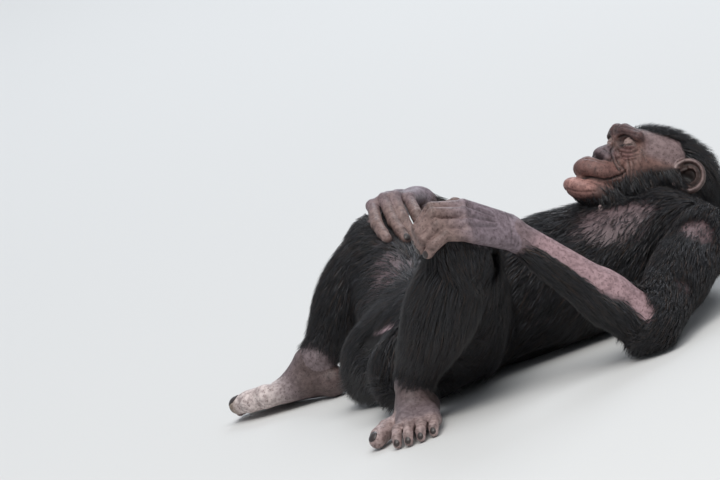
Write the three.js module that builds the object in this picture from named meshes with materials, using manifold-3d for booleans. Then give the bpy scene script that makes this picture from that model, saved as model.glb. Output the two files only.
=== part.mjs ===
// A life-size chimpanzee lying on its back, knees drawn up and spread, a hand on each knee, eyes closed.
// Millimetres. +X runs from the seat to the head, +Y to the animal's own right, +Z up from the floor.
import * as THREE from "three";
import { mergeVertices } from "three/addons/utils/BufferGeometryUtils.js";
import Module from "manifold-3d";

const wasm = await Module();
wasm.setup();
const { Manifold } = wasm;
const V = (x, y, z) => new THREE.Vector3(x, y, z);

// Skeleton: joint centres. Each pair has the near left side first and the far right side second.
const HIP = { left: V(20, -86, 92), right: V(20, 84, 92) };
const KNEE = { left: V(5, -328, 258), right: V(58, 342, 204) };
const ANKLE = { left: V(-120, -232, 66), right: V(-122, 282, 66) };
const SHOULDER = { left: V(442, -150, 110), right: V(445, 155, 108) };
const ELBOW = { left: V(256, -358, 45), right: V(318, 402, 45) };
const WRIST = { left: V(90, -332, 262), right: V(158, 428, 238) };
const HEAD_CENTRE = V(451, 0, 206);
const HEAD_SCALE = 1.058;
const HEAD_PITCH = 41;
const HEAD_TURN = 10.2;
const FOOT_TURN = { left: -117.3, right: 135 };
const FOOT_ROLL = { left: 0, right: 8 };
const FOOT_LIFT = { left: 0, right: 2.5 };
const FOOT_FORWARD = { left: 0, right: 20 };

// Digits: knuckle, middle joint, end joint and tip of each, thumb first, little finger last.
const FINGERS = {
  left: [
    [V(76, -318, 282), V(48, -312, 314), V(22, -306, 334), V(-2, -304, 334)],
    [V(20, -354, 334), V(-32, -358, 349), V(-62, -352, 325), V(-66, -340, 304)],
    [V(13, -370, 325), V(-37, -376, 343), V(-66, -370, 320), V(-70, -357, 299)],
    [V(7, -384, 309), V(-40, -389, 325), V(-66, -381, 309), V(-71, -367, 294)],
    [V(6, -392, 292), V(-33, -397, 307), V(-57, -396, 298), V(-68, -388, 287)],
  ],
  right: [
    [V(160, 405, 222), V(158, 372, 214), V(148, 342, 206), V(140, 322, 198)],
    [V(128, 342, 257), V(121, 296, 234), V(116, 272, 208), V(114, 258, 190)],
    [V(105, 338, 268), V(94, 288, 238), V(93, 264, 216), V(93, 247, 203)],
    [V(87, 338, 271), V(76, 282, 239), V(75, 255, 225), V(74, 234, 213)],
    [V(67, 344, 266), V(48, 284, 244), V(46, 260, 232), V(45, 241, 223)],
  ],
};
const FINGER_RADII = [10.2, 10.4, 9.6, 8.4];
const THUMB_RADII = [11, 11, 10, 8.5];
const THIGH_RADII = { left: [76, 64, 49], right: [70, 54, 47] };
const THIGH_UNDER = { left: [62, 48], right: [60, 46] };
const DIGIT_START = 0.2;
const DIGIT_NAMES = ["thumb", "index_finger", "middle_finger", "ring_finger", "little_finger"];
const TOE_NAMES = ["big_toe", "second_toe", "third_toe", "fourth_toe", "fifth_toe"];

// Feet in their own frame: forward from the ankle, towards the big toe, up.
const TOES = {
  left: [
    [V(34, 26, 22), V(62, 46, 21), V(88, 56, 18), V(106, 58, 16)],
    [V(86, 17, 23), V(116, 19, 26), V(137, 19, 18), V(147, 19, 9)],
    [V(90, -1, 22), V(121, -1, 26), V(142, -1, 18), V(152, -1, 9)],
    [V(86, -19, 20), V(115, -21, 24), V(135, -21, 17), V(145, -21, 9)],
    [V(78, -36, 17), V(103, -40, 21), V(121, -40, 15), V(130, -40, 8.5)],
  ],
  right: [
    [V(40, 26, 25), V(76, 36, 25), V(106, 39, 23), V(130, 38, 21)],
    [V(86, 16, 21), V(114, 17, 23), V(133, 16, 16), V(143, 15, 8)],
    [V(90, -2, 20), V(119, -3, 23), V(138, -4, 16), V(148, -5, 8)],
    [V(86, -20, 18), V(113, -22, 21), V(131, -23, 15), V(141, -24, 8)],
    [V(78, -36, 15), V(101, -40, 18), V(118, -42, 13), V(127, -43, 8)],
  ],
};
const TOE_RADII = [8.3, 8.6, 8, 7.2];
const BIG_TOE_RADII = { left: [15, 16, 15, 13], right: [17, 19.5, 18.5, 15] };

// Coat: how far the matted underfur and the lock tips stand off the skin.
const UNDERFUR = 5;
const LOCK_LIFT = 9;
const GAP = 0.35;
const SLIVER = 0.04;
const FLOOR = 0;
const PELVIS_END = 78;
const BELLY_END = 214;

// How finely a spine is read along its length.
const SPINE_STEPS = 60;

// Distance fields: each takes a point and gives its distance outside a surface, negative inside.
const clamp = (v, low, high) => Math.min(high, Math.max(low, v));

// A straight length with round ends, radius ra at a and rb at b.
function taper(a, b, ra, rb) {
  const d = b.clone().sub(a);
  const long = d.lengthSq();
  return (p) => {
    const t = clamp(((p.x - a.x) * d.x + (p.y - a.y) * d.y + (p.z - a.z) * d.z) / long, 0, 1);
    return Math.hypot(p.x - a.x - t * d.x, p.y - a.y - t * d.y, p.z - a.z - t * d.z) - ra - (rb - ra) * t;
  };
}

// An egg along the axes of the frame it is used in.
function egg(c, rx, ry, rz) {
  return (p) => {
    const x = (p.x - c.x) / rx;
    const y = (p.y - c.y) / ry;
    const z = (p.z - c.z) / rz;
    const k = Math.hypot(x, y, z);
    return k < 1e-4 ? -Math.min(rx, ry, rz) : (k * (k - 1)) / Math.hypot(x / rx, y / ry, z / rz);
  };
}

// Joins surfaces with a fillet about k wide.
function smooth(k, ...fields) {
  return (p) =>
    fields.reduce((a, f) => {
      const b = f(p);
      const h = Math.max(k - Math.abs(a - b), 0) / k;
      return Math.min(a, b) - (h * h * k) / 4;
    }, 1e6);
}

// Hollows one surface by another, with an edge about k round.
function hollow(k, field, cut) {
  return (p) => {
    const a = -field(p);
    const b = cut(p);
    const h = Math.max(k - Math.abs(a - b), 0) / k;
    return -(Math.min(a, b) - (h * h * k) / 4);
  };
}

// Uses a field made in a frame of its own, such as the head's, in the part's frame.
function placed(frame, size, field) {
  const back = frame.clone().invert();
  const q = V(0, 0, 0);
  return (p) => size * field(q.copy(p).applyMatrix4(back));
}

const offset = (field, depth) => (p) => field(p) - depth;
const both = (make) => [make(1), make(-1)];

// The way out of a surface at p.
function outward(field, p) {
  const e = 0.6;
  const at = (x, y, z) => field(V(p.x + x, p.y + y, p.z + z));
  return V(at(e, 0, 0) - at(-e, 0, 0), at(0, e, 0) - at(0, -e, 0), at(0, 0, e) - at(0, 0, -e)).normalize();
}

// How far from a point inside, along a way, the surface lies.
function reach(field, from, way) {
  let near = 0;
  let far = 0;
  const at = (r) => field(from.clone().addScaledVector(way, r));
  for (let i = 0; i < 400; i++) {
    const f = at(far);
    if (f > 0) break;
    near = far;
    far += clamp(-0.7 * f, 0.5, 10);
  }
  for (let i = 0; i < 18; i++) {
    const middle = (near + far) / 2;
    if (at(middle) > 0) far = middle;
    else near = middle;
  }
  return near;
}

// A closed skin round a spine: rings of points where rays from the spine meet the surface, a fan at each end.
// The front fan has its own count, and crowd over 1 draws its rings together near the tip.
function loft(field, spine, { sides, rings, caps = 2, front = caps, crowd = 1 }) {
  const path = new THREE.CatmullRomCurve3(spine, false, "centripetal");
  const steps = SPINE_STEPS;
  const { tangents, normals, binormals } = path.computeFrenetFrames(steps);
  const stations = [];
  for (let i = caps; i > 0; i--) stations.push([0, (-90 * i) / (caps + 1)]);
  for (let i = 0; i < rings; i++) stations.push([i / (rings - 1), 0]);
  for (let i = 1; i <= front; i++) stations.push([1, 90 - 90 * (1 - i / (front + 1)) ** crowd]);
  const points = [];
  const shoot = (at, tilt, turn) => {
    const k = Math.round(at * steps);
    const lean = THREE.MathUtils.degToRad(tilt);
    const way = tangents[k].clone().multiplyScalar(Math.sin(lean));
    way.addScaledVector(normals[k], Math.cos(lean) * Math.cos(turn));
    way.addScaledVector(binormals[k], Math.cos(lean) * Math.sin(turn));
    const from = path.getPointAt(k / steps);
    points.push(from.addScaledVector(way, reach(field, from, way)));
  };
  shoot(0, -90, 0);
  for (const [at, tilt] of stations) {
    for (let j = 0; j < sides; j++) shoot(at, tilt, (2 * Math.PI * j) / sides);
  }
  shoot(1, 90, 0);
  const index = [];
  const id = (ring, j) => 1 + ring * sides + (j % sides);
  const last = points.length - 1;
  for (let j = 0; j < sides; j++) {
    index.push(0, id(0, j + 1), id(0, j));
    for (let i = 0; i < stations.length - 1; i++) {
      const [a, b, c, d] = [id(i, j), id(i, j + 1), id(i + 1, j), id(i + 1, j + 1)];
      if (points[a].distanceTo(points[d]) < points[b].distanceTo(points[c])) index.push(a, b, d, a, d, c);
      else index.push(a, b, c, c, b, d);
    }
    index.push(last, id(stations.length - 1, j), id(stations.length - 1, j + 1));
  }
  return { points, index };
}

// The same skin moved out along its own normals by grow.
function skin(field, { points, index }, grow) {
  const moved = points.map((p) => (grow > 0 ? p.clone().addScaledVector(outward(field, p), grow) : p));
  return new THREE.BufferGeometry().setFromPoints(moved).setIndex(index);
}

// A closed mesh as a solid that can be joined and cut.
function solid(geometry) {
  const bare = geometry.clone();
  bare.deleteAttribute("normal");
  bare.deleteAttribute("uv");
  const merged = mergeVertices(bare, 1e-4);
  const made = new Manifold(
    new wasm.Mesh({
      numProp: 3,
      vertProperties: new Float32Array(merged.attributes.position.array),
      triVerts: new Uint32Array(merged.index.array),
    }),
  );
  if (made.volume() < 0) throw new Error("a piece is inside out");
  return made;
}

// The largest body of a solid, without loose scraps.
function largest(body) {
  return body.decompose().reduce((a, b) => (b.volume() > a.volume() ? b : a));
}

// How far a lock strays from its place in a row, as a share of the spacing.
const LOCK_STRAY = 0.15;

// Seeded draws, so that the coat is the same each time.
let seed = 20417;
function draw(low, high) {
  seed = (seed * 1664525 + 1013904223) % 4294967296;
  return low + ((high - low) * seed) / 4294967296;
}

// A lock from root to tip: height over its surface as a share of its lift, width as a share, thickness.
const LOCK_RINGS = [
  { height: -0.55, wide: 0.7, thick: 7 },
  { height: 0.3, wide: 1, thick: 6 },
  { height: 0.7, wide: 0.9, thick: 5.4 },
  { height: 0.95, wide: 0.58, thick: 4 },
];

// How far a lock past its root stays from other nodes.
const LOCK_CLEAR = 0.5;
const LOCK_ROOT_POINTS = 3;

// How much further than the gap a lock's thin edges and its faces move out when it is grown.
const LOCK_EDGE = 14;
const LOCK_FACE = 2;

// One flat, tapered lock of hair: it leaves the surface at root and lies along the coat to its tip.
function lock({ field, root, lie, length, width }, grow) {
  const at = root.clone();
  const way = lie.clone();
  const points = [];
  const place = (height) => {
    const out = outward(field, at);
    at.addScaledVector(out, height * LOCK_LIFT - field(at));
    way.addScaledVector(out, -way.dot(out)).normalize();
    return out;
  };
  LOCK_RINGS.forEach(({ height, wide, thick }, i) => {
    if (i > 0) at.addScaledVector(way, length / LOCK_RINGS.length);
    const out = place(height);
    const across = V(0, 0, 0).crossVectors(way, out);
    const middle = at.clone().addScaledVector(way, i > 0 ? 0 : -grow);
    const half = (wide * width) / 2 + LOCK_EDGE * grow;
    const under = -LOCK_FACE * grow;
    for (const [side, up] of [[half, under], [0, thick - 2 * under], [-half, under]]) {
      points.push(middle.clone().addScaledVector(across, side).addScaledVector(out, up));
    }
  });
  at.addScaledVector(way, length / LOCK_RINGS.length);
  place(1);
  points.push(at.clone().addScaledVector(way, 3 * grow));
  const index = [0, 1, 2];
  const last = points.length - 1;
  for (let i = 0; i + 3 < last; i++) {
    const next = i % 3 === 2 ? i - 2 : i + 1;
    index.push(i, i + 3, next, next, i + 3, next + 3);
  }
  for (let j = 3; j > 0; j--) index.push(last - j, last, j > 1 ? last - j + 1 : last - 3);
  return new THREE.BufferGeometry().setFromPoints(points).setIndex(index);
}

// Locks set in staggered rows round a spine. The lie is given the point and says whether and how hair lies.
function coat(field, spine, { rows, around, length, width, lie, from = 0.08, to = 0.92 }) {
  const path = new THREE.CatmullRomCurve3(spine, false, "centripetal");
  const steps = SPINE_STEPS;
  const { normals, binormals } = path.computeFrenetFrames(steps);
  const made = [];
  for (let i = 0; i < rows; i++) {
    for (let j = 0; j < around; j++) {
      const row = (i + draw(-LOCK_STRAY, LOCK_STRAY)) / Math.max(rows - 1, 1);
      const k = Math.round(steps * (from + (to - from) * row));
      const turn = (2 * Math.PI * (j + (i % 2) / 2 + draw(-LOCK_STRAY, LOCK_STRAY))) / around;
      const way = normals[clamp(k, 0, steps)].clone().multiplyScalar(Math.cos(turn));
      way.addScaledVector(binormals[clamp(k, 0, steps)], Math.sin(turn));
      const centre = path.getPointAt(clamp(k / steps, 0, 1));
      const root = centre.clone().addScaledVector(way, reach(field, centre, way));
      const long = length * draw(0.85, 1.15);
      const hair = lie(root, outward(field, root));
      if (hair) made.push({ field, root, lie: hair, length: long, width: width * draw(0.9, 1.15) });
    }
  }
  return made;
}

// Body: the trunk, a smooth run of eggs from the seat to the shoulders.
const trunk = smooth(
  46,
  egg(V(0, 0, 81), 92, 116, 84),
  ...both((s) => egg(V(-62, s * 77, 66), 67, 65, 64)),
  egg(V(130, 0, 97), 128, 124, 97),
  egg(V(232, 0, 103), 118, 138, 103),
  egg(V(328, 0, 98), 116, 146, 97),
  egg(V(408, 0, 96), 78, 140, 86),
  ...both((s) => egg(V(368, s * 66, 150), 62, 62, 36)),
  ...both((s) => taper(V(428, s * 50, 116), V(438, s * 128, 108), 58, 52)),
);
const trunkFur = offset(trunk, UNDERFUR);
const TRUNK_SPINE = [V(-30, 0, 84), V(130, 0, 100), V(430, 0, 104)];

const neck = smooth(
  30,
  taper(V(425, 0, 108), V(480, 4, 160), 78, 50),
  taper(V(448, 0, 92), V(496, 6, 136), 60, 42),
);

// Head in its own frame: forward along the face, left, up. The origin lies midway between the ear holes.
const pitch = THREE.MathUtils.degToRad(HEAD_PITCH);
const turn = THREE.MathUtils.degToRad(HEAD_TURN);
const faceWay = V(-Math.cos(turn) * Math.cos(pitch), -Math.sin(turn) * Math.cos(pitch), Math.sin(pitch));
const leftWay = V(Math.sin(turn), -Math.cos(turn), 0);
const crownWay = V(0, 0, 0).crossVectors(faceWay, leftWay);
const headFrame = new THREE.Matrix4()
  .makeBasis(faceWay, leftWay, crownWay)
  .scale(V(HEAD_SCALE, HEAD_SCALE, HEAD_SCALE))
  .setPosition(HEAD_CENTRE);

const cranium = smooth(22, egg(V(4, 0, 24), 72, 57, 41), egg(V(-40, 0, 2), 44, 52, 44));
const browRidge = smooth(
  8,
  ...both((s) => taper(V(85, s * 12, 40), V(76, s * 42, 36), 13, 9)),
);
const midface = smooth(
  16,
  egg(V(56, 0, 10), 32, 50, 40),
  ...both((s) => taper(V(60, s * 44, -2), V(6, s * 56, 0), 13, 12)),
  ...both((s) => egg(V(46, s * 36, -26), 36, 20, 28)),
  taper(V(79, 0, 26), V(99, 0, 1), 9, 10),
);
const nose = smooth(8, egg(V(104, 0, -7), 14, 15, 12), ...both((s) => egg(V(99, s * 15, -10), 12, 9.5, 9.5)));
const upperJaw = smooth(12, egg(V(88, 0, -32), 48, 36, 26), egg(V(104, 0, -38), 35, 34, 15));
const lowerJaw = smooth(
  12,
  egg(V(110, 0, -67), 38, 32, 18),
  egg(V(78, 0, -64), 46, 35, 19),
  ...both((s) => taper(V(86, s * 16, -64), V(10, s * 42, -42), 18, 20)),
);
const throat = taper(V(46, 0, -58), V(-20, 0, -44), 24, 46);
const eyeSocket = (s) => egg(V(94, s * 27, 22), 13, 15, 10.5);
const lidDome = (s) => egg(V(72, s * 27, 23), 14.5, 15, 13);
const lidSlit = (s) => [V(83, s * 14, 21), V(87.5, s * 27, 18), V(80, s * 41, 21)];
const mouthLine = [
  V(138, 0, -51),
  V(134, 10, -51.5),
  V(123, 23, -51),
  V(103, 32, -47),
  V(92, 37, -41),
  V(84, 40, -32),
  V(80, 43, -22),
];
const LIP_LINE = 2.6;
const NOSTRIL = 3.8;
const SLIT = 1.3;
const nostril = (s) => [V(121, s * 9, -12), V(108, s * 12, -14)];

const skull = smooth(
  9,
  smooth(14, cranium, browRidge, midface),
  nose,
  smooth(5, upperJaw, lowerJaw),
  smooth(20, throat, cranium),
);
const headSkin = hollow(6, hollow(6, skull, eyeSocket(1)), eyeSocket(-1));

// Limbs.
const SIDES = ["left", "right"];
const between = (a, b, t) => a.clone().lerp(b, t);
const perSide = (make) => Object.fromEntries(SIDES.map((side) => [side, make(side)]));

const upperArm = perSide((side) => {
  const [a, b] = [SHOULDER[side], ELBOW[side]];
  return smooth(16, taper(a, between(a, b, 0.45), 50, 44), taper(between(a, b, 0.4), b, 43, 40));
});
const forearm = perSide((side) => {
  const [a, b] = [ELBOW[side], WRIST[side]];
  const muscle = taper(a, between(a, b, 0.35), 39, 37);
  return smooth(14, muscle, taper(between(a, b, 0.3), between(a, b, 0.97), 37, 24));
});
const thigh = perSide((side) => {
  const [a, b] = [HIP[side], KNEE[side]];
  const under = V(-34, 0, -26);
  const [top, middle, low] = THIGH_RADII[side];
  return smooth(
    20,
    taper(a, between(a, b, 0.5), top, middle),
    taper(between(a, b, 0.4), b, middle, low),
    taper(between(a, b, 0.12).add(under), between(a, b, 0.66).add(under), ...THIGH_UNDER[side]),
  );
});
const shank = perSide((side) => {
  const [hip, knee, ankle] = [HIP[side], KNEE[side], ANKLE[side]];
  const back = hip.clone().sub(knee).normalize();
  const calf = between(knee, ankle, 0.36).addScaledVector(back, 8);
  return smooth(
    18,
    taper(knee, between(knee, ankle, 0.5), 46, 46),
    taper(between(knee, ankle, 0.15), calf, 38, 44),
    taper(calf, between(knee, ankle, 0.96), 44, 28),
  );
});

// Hand: four long bones fan from the wrist to the knuckles.
const palm = perSide((side) => {
  const knuckles = FINGERS[side].slice(1).map((digit) => digit[0]);
  const across = knuckles[3].clone().sub(knuckles[0]).normalize();
  const bones = knuckles.map((knuckle, i) =>
    taper(WRIST[side].clone().addScaledVector(across, 12 * (i - 1.5)), knuckle, 16, 12),
  );
  const thumbRoot = taper(between(WRIST[side], FINGERS[side][0][0], 0.2), FINGERS[side][0][0], 17, 14);
  return smooth(9, ...bones, thumbRoot);
});
const digit = (joints, radii) =>
  smooth(
    3,
    taper(joints[0], joints[1], radii[0], radii[1]),
    taper(joints[1], joints[2], radii[1], radii[2]),
    taper(joints[2], joints[3], radii[2], radii[3]),
  );

const beyondRoot = ([knuckle, joint, ...rest]) => [between(knuckle, joint, DIGIT_START), joint, ...rest];
const FINGER_SHAPE = { sides: 7, rings: 6, caps: 1 };
const TOE_SHAPE = { sides: 7, rings: 4, caps: 1 };

// Foot frames stand on the floor, under the ankle or a little ahead of it.
const footFrame = perSide((side) => {
  const way = THREE.MathUtils.degToRad(FOOT_TURN[side]);
  const forward = V(Math.cos(way), Math.sin(way), 0);
  const inward = V(0, 0, 0).crossVectors(V(0, 0, 1), forward);
  if (side === "left") inward.negate();
  const roll = THREE.MathUtils.degToRad(FOOT_ROLL[side]);
  const medial = inward.multiplyScalar(Math.cos(roll)).addScaledVector(V(0, 0, 1), Math.sin(roll));
  const up = V(0, 0, 0).crossVectors(forward, medial);
  if (up.z < 0) up.negate();
  const foot = V(ANKLE[side].x, ANKLE[side].y, FOOT_LIFT[side]).addScaledVector(forward, FOOT_FORWARD[side]);
  return new THREE.Matrix4().makeBasis(forward, medial, up).setPosition(foot);
});
const foot = perSide((side) => {
  const heads = TOES[side].slice(1).map((toe) => toe[0]);
  return smooth(
    12,
    taper(V(-34, 0, 25), V(-8, 0, 40), 25, 27),
    taper(V(0, 0, 62), V(22, 0, 40), 28, 26),
    taper(V(-30, -6, 22), V(70, -29, 17), 21, 13),
    taper(V(20, 6, 38), V(62, 10, 28), 26, 18),
    ...heads.map((head) => taper(V(38, head.y * 0.6, 26), head, 15, 11)),
    taper(V(8, 10, 30), TOES[side][0][0], 22, BIG_TOE_RADII[side][0]),
  );
});

// Ears: a round cup on a short root, its rim turned over behind and its notch open in front.
const EAR_RADIUS = 28;
const earFrame = (s) => {
  const backward = V(-0.8, s * 0.6, 0);
  const up = V(0.1, 0, 1).normalize();
  backward.addScaledVector(up, -backward.dot(up)).normalize();
  const out = V(0, 0, 0).crossVectors(backward, up).multiplyScalar(s);
  const frame = new THREE.Matrix4().makeBasis(backward, up, out).setPosition(V(-10, s * 75, 4));
  return headFrame.clone().multiply(frame);
};
const earShape = smooth(
  3,
  hollow(3, egg(V(0, 0, -6), EAR_RADIUS, 28.5, 14), egg(V(1, 1, 6), EAR_RADIUS - 5, 23.5, 15)),
  taper(V(-21, -2, -2), V(-17, -16, 1), 5, 4.5),
);

// Pieces: the core of each node, in joining order, made at any growth so that neighbours are cut clear.
const slab = (body, low, high) => body.trimByPlane([1, 0, 0], low).trimByPlane([-1, 0, 0], -high);
const segment = (field, spine, shape) => {
  const base = loft(field, spine, shape);
  return Object.assign((grow) => solid(skin(field, base, grow)), { field });
};
const trunkCore = segment(trunkFur, TRUNK_SPINE, { sides: 22, rings: 12, caps: 3 });
const ofTrunk = (low, high) => {
  const core = (grow) => slab(trunkCore(grow), low + GAP / 2 - grow, high - GAP / 2 + grow);
  return Object.assign(core, { field: trunkFur });
};
const inFrameOf = (frame, spine) => spine.map((p) => p.clone().applyMatrix4(frame));

// Which way hair lies, as a function of the point and the way out of the skin there.
const towards = (way) => () => way.clone();
const clearOfFloor = (rule) => (p, out) => (p.z < 24 || out.z < -0.55 ? null : rule(p, out));
const downTheTrunk = clearOfFloor((p, out) => {
  const bareChest = p.x > 270 && out.z > 0.6 && Math.abs(p.y) < 120;
  const bareBelly = p.x > 40 && p.x < 130 && out.z > 0.85;
  return bareChest || bareBelly ? null : V(-1, 0.35 * Math.sign(p.y), -0.5);
});

const nodes = [];
const add = (name, colour, core, locks = []) => nodes.push({ name, colour, core, locks });

const trunkLocks = coat(trunkFur, TRUNK_SPINE, {
  rows: 6,
  around: 11,
  length: 100,
  width: 44,
  lie: downTheTrunk,
  from: 0.02,
  to: 0.98,
});
const within = (locks, low, high) => locks.filter(({ root }) => root.x >= low && root.x < high);
add("pelvis", "fur", ofTrunk(-400, PELVIS_END), within(trunkLocks, -400, PELVIS_END));
add("abdomen", "fur", ofTrunk(PELVIS_END, BELLY_END), within(trunkLocks, PELVIS_END, BELLY_END));
add("chest", "fur", ofTrunk(BELLY_END, 900), within(trunkLocks, BELLY_END, 900));

const neckFur = offset(neck, UNDERFUR);
const NECK_SPINE = [V(432, 0, 106), V(458, 2, 128), V(484, 4, 148)];
const neckLie = clearOfFloor(() => V(0.2, 0, -1));
add(
  "neck",
  "fur",
  segment(neckFur, NECK_SPINE, { sides: 14, rings: 4, caps: 3 }),
  coat(neckFur, NECK_SPINE, { rows: 2, around: 6, length: 62, width: 42, lie: neckLie, from: 0.3, to: 0.9 }),
);

// Head: the face is bare, so only the hairy parts stand off the skin.
const headField = placed(headFrame, HEAD_SCALE, headSkin);
const HEAD_SPINE = inFrameOf(headFrame, [V(-4, 0, 50), V(10, 0, 41), V(24, 0, 32)]);
const tube = (points, radius, { sides, rings }) => {
  const along = smooth(0.1, ...points.slice(1).map((p, i) => taper(points[i], p, radius, radius)));
  return segment(along, points, { sides, rings, caps: 1 })(0);
};
const headCuts = () => {
  const flip = (p) => V(p.x, -p.y, p.z);
  const line = [...mouthLine.slice(1).reverse().map(flip), ...mouthLine];
  const cuts = [tube(inFrameOf(headFrame, line), LIP_LINE, { sides: 5, rings: 12 })];
  for (const s of [1, -1]) cuts.push(tube(inFrameOf(headFrame, nostril(s)), NOSTRIL, { sides: 6, rings: 2 }));
  return Manifold.union(cuts);
};
const HEAD_SHAPE = { sides: 30, rings: 3, caps: 4, front: 18, crowd: 1.5 };
const headWhole = segment(headField, HEAD_SPINE, HEAD_SHAPE);
const headCore = (grow) => (grow > 0 ? headWhole(grow) : headWhole(0).subtract(headCuts()));
headCore.field = headField;
const HEAD_STAGGER = 10;

// Locks on the head are set by the way they face from a centre: tilt is up from the face, turn to the left.
const headFan = ({ centre, tilts, turns, lie, length, width }) =>
  tilts.flatMap((tilt, i) =>
    turns.map((turn) => {
      const [up, side] = [tilt, turn + (i % 2) * HEAD_STAGGER].map(THREE.MathUtils.degToRad);
      const way = V(Math.cos(up) * Math.cos(side), Math.sin(side), Math.sin(up) * Math.cos(side));
      const from = centre.clone().applyMatrix4(headFrame);
      way.transformDirection(headFrame);
      const root = from.clone().addScaledVector(way, reach(headField, from, way));
      const hair = lie.clone().transformDirection(headFrame);
      return { field: headField, root, lie: hair, length: length * draw(0.9, 1.1), width };
    }),
  );
const crown = { centre: V(0, 0, 16), tilts: [62, 90], turns: [-26, -4, 18], length: 50, width: 26 };
const occiput = { ...crown, tilts: [112, 132, 152], turns: [-40, -20, 0, 20], length: 52, width: 28 };
const nape = { centre: V(-10, 0, 6), tilts: [172, 190], turns: [-46, -22, 2, 26], length: 54, width: 32 };
const headLocks = [
  { ...crown, lie: V(-1, 0, -0.2) },
  { ...occiput, lie: V(-1, 0, -0.6) },
  { ...nape, lie: V(-0.6, 0, -1) },
  ...[1, -1].map((s) => ({
    centre: V(14, 0, -24),
    tilts: [-66, -100],
    turns: [s * 44 - HEAD_STAGGER / 2, s * 66 - HEAD_STAGGER / 2],
    lie: V(-1, 0, -0.5),
    length: 46,
    width: 24,
  })),
].flatMap(headFan);
add("head", "face", headCore, headLocks);
for (const [side, s] of [["left", 1], ["right", -1]]) {
  const lids = placed(headFrame, HEAD_SCALE, lidDome(s));
  const spine = inFrameOf(headFrame, [V(66, s * 27, 23), V(74, s * 27, 23)]);
  const dome = segment(lids, spine, { sides: 11, rings: 2, caps: 1, front: 3 });
  const slit = tube(inFrameOf(headFrame, lidSlit(s)), SLIT, { sides: 4, rings: 5 });
  const lidCore = (grow) => (grow > 0 ? dome(grow) : dome(0).subtract(slit));
  add(`closed_eye_${side}`, "lid", Object.assign(lidCore, { field: lids }));
  const ear = placed(earFrame(s), HEAD_SCALE, earShape);
  const earSpine = inFrameOf(earFrame(s), [V(0, 0, -16), V(0, 0, -12.5)]);
  add(`ear_${side}`, "face", segment(ear, earSpine, { sides: 15, rings: 2, caps: 1, front: 5 }));
}

for (const side of SIDES) {
  const armSpine = [SHOULDER[side], ELBOW[side]];
  const armWay = ELBOW[side].clone().sub(SHOULDER[side]).normalize();
  const armFur = offset(upperArm[side], UNDERFUR);
  add(
    `upper_arm_${side}`,
    "fur",
    segment(armFur, armSpine, { sides: 12, rings: 6, caps: 2 }),
    coat(armFur, armSpine, {
      rows: 3,
      around: 6,
      length: 90,
      width: 40,
      lie: clearOfFloor(towards(armWay)),
      to: 0.7,
    }),
  );
  const forearmSpine = [ELBOW[side], WRIST[side]];
  const elbowWay = ELBOW[side].clone().sub(WRIST[side]).normalize();
  const forearmFur = offset(forearm[side], 3);
  add(
    `forearm_${side}`,
    "fur",
    segment(forearmFur, forearmSpine, { sides: 12, rings: 6, caps: 2 }),
    coat(forearmFur, forearmSpine, {
      rows: 2,
      around: 5,
      length: 78,
      width: 32,
      lie: clearOfFloor((p, out) => (out.dot(V(0, -0.2, 1)) > 0.25 ? null : elbowWay.clone())),
      from: 0.3,
      to: 0.8,
    }),
  );
  const hipSpine = [HIP[side], KNEE[side]];
  const thighWay = KNEE[side].clone().sub(HIP[side]).setZ(0).setLength(0.75).add(V(-0.2, 0, -0.8));
  const thighFur = offset(thigh[side], UNDERFUR);
  add(
    `thigh_${side}`,
    "fur",
    segment(thighFur, hipSpine, { sides: 14, rings: 7, caps: 3 }),
    coat(thighFur, hipSpine, {
      rows: 4,
      around: 8,
      length: 88,
      width: 42,
      lie: clearOfFloor((p, out) => (out.x > 0.9 ? null : thighWay.clone())),
      from: 0.25,
      to: 0.95,
    }),
  );
  const shankSpine = [KNEE[side], ANKLE[side]];
  const shankWay = ANKLE[side].clone().sub(KNEE[side]).normalize();
  const shankFur = offset(shank[side], UNDERFUR);
  add(
    `shank_${side}`,
    "fur",
    segment(shankFur, shankSpine, { sides: 12, rings: 7, caps: 2 }),
    coat(shankFur, shankSpine, {
      rows: 4,
      around: 7,
      length: 84,
      width: 38,
      lie: clearOfFloor(towards(shankWay)),
      from: 0.02,
      to: 0.6,
    }),
  );

  const palmMiddle = between(WRIST[side], between(FINGERS[side][2][0], FINGERS[side][3][0], 0.5), 0.95);
  const palmSpine = [WRIST[side], palmMiddle];
  add(`palm_${side}`, "hand", segment(palm[side], palmSpine, { sides: 12, rings: 5, caps: 2 }));
  FINGERS[side].forEach((joints, i) => {
    const field = digit(joints, i ? FINGER_RADII : THUMB_RADII);
    add(`${DIGIT_NAMES[i]}_${side}`, "hand", segment(field, beyondRoot(joints), FINGER_SHAPE));
  });
  const sole = placed(footFrame[side], 1, foot[side]);
  const soleSpine = inFrameOf(footFrame[side], [V(-22, 0, 30), V(20, 0, 32), V(70, -6, 22)]);
  add(`foot_${side}`, "foot", segment(sole, soleSpine, { sides: 12, rings: 5, caps: 3 }));
  TOES[side].forEach((joints, i) => {
    const at = inFrameOf(footFrame[side], joints);
    const field = digit(at, i ? TOE_RADII : BIG_TOE_RADII[side]);
    add(`${TOE_NAMES[i]}_${side}`, "foot", segment(field, beyondRoot(at), TOE_SHAPE));
  });
}

// Finishes.
const FINISH = {
  fur: { color: 0x17161a, roughness: 0.75 },
  face: { color: 0x7d5a50, roughness: 0.6 },
  lid: { color: 0xa98873, roughness: 0.55 },
  hand: { color: 0x5f504c, roughness: 0.6 },
  foot: { color: 0x7c6c68, roughness: 0.65 },
};

// Assembly: each node is cut clear of those before it, and of the floor.
const whole = ({ core, locks }, grow) => {
  return Manifold.union([core(grow), ...locks.map((each) => solid(lock(each, grow)))]);
};

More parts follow.
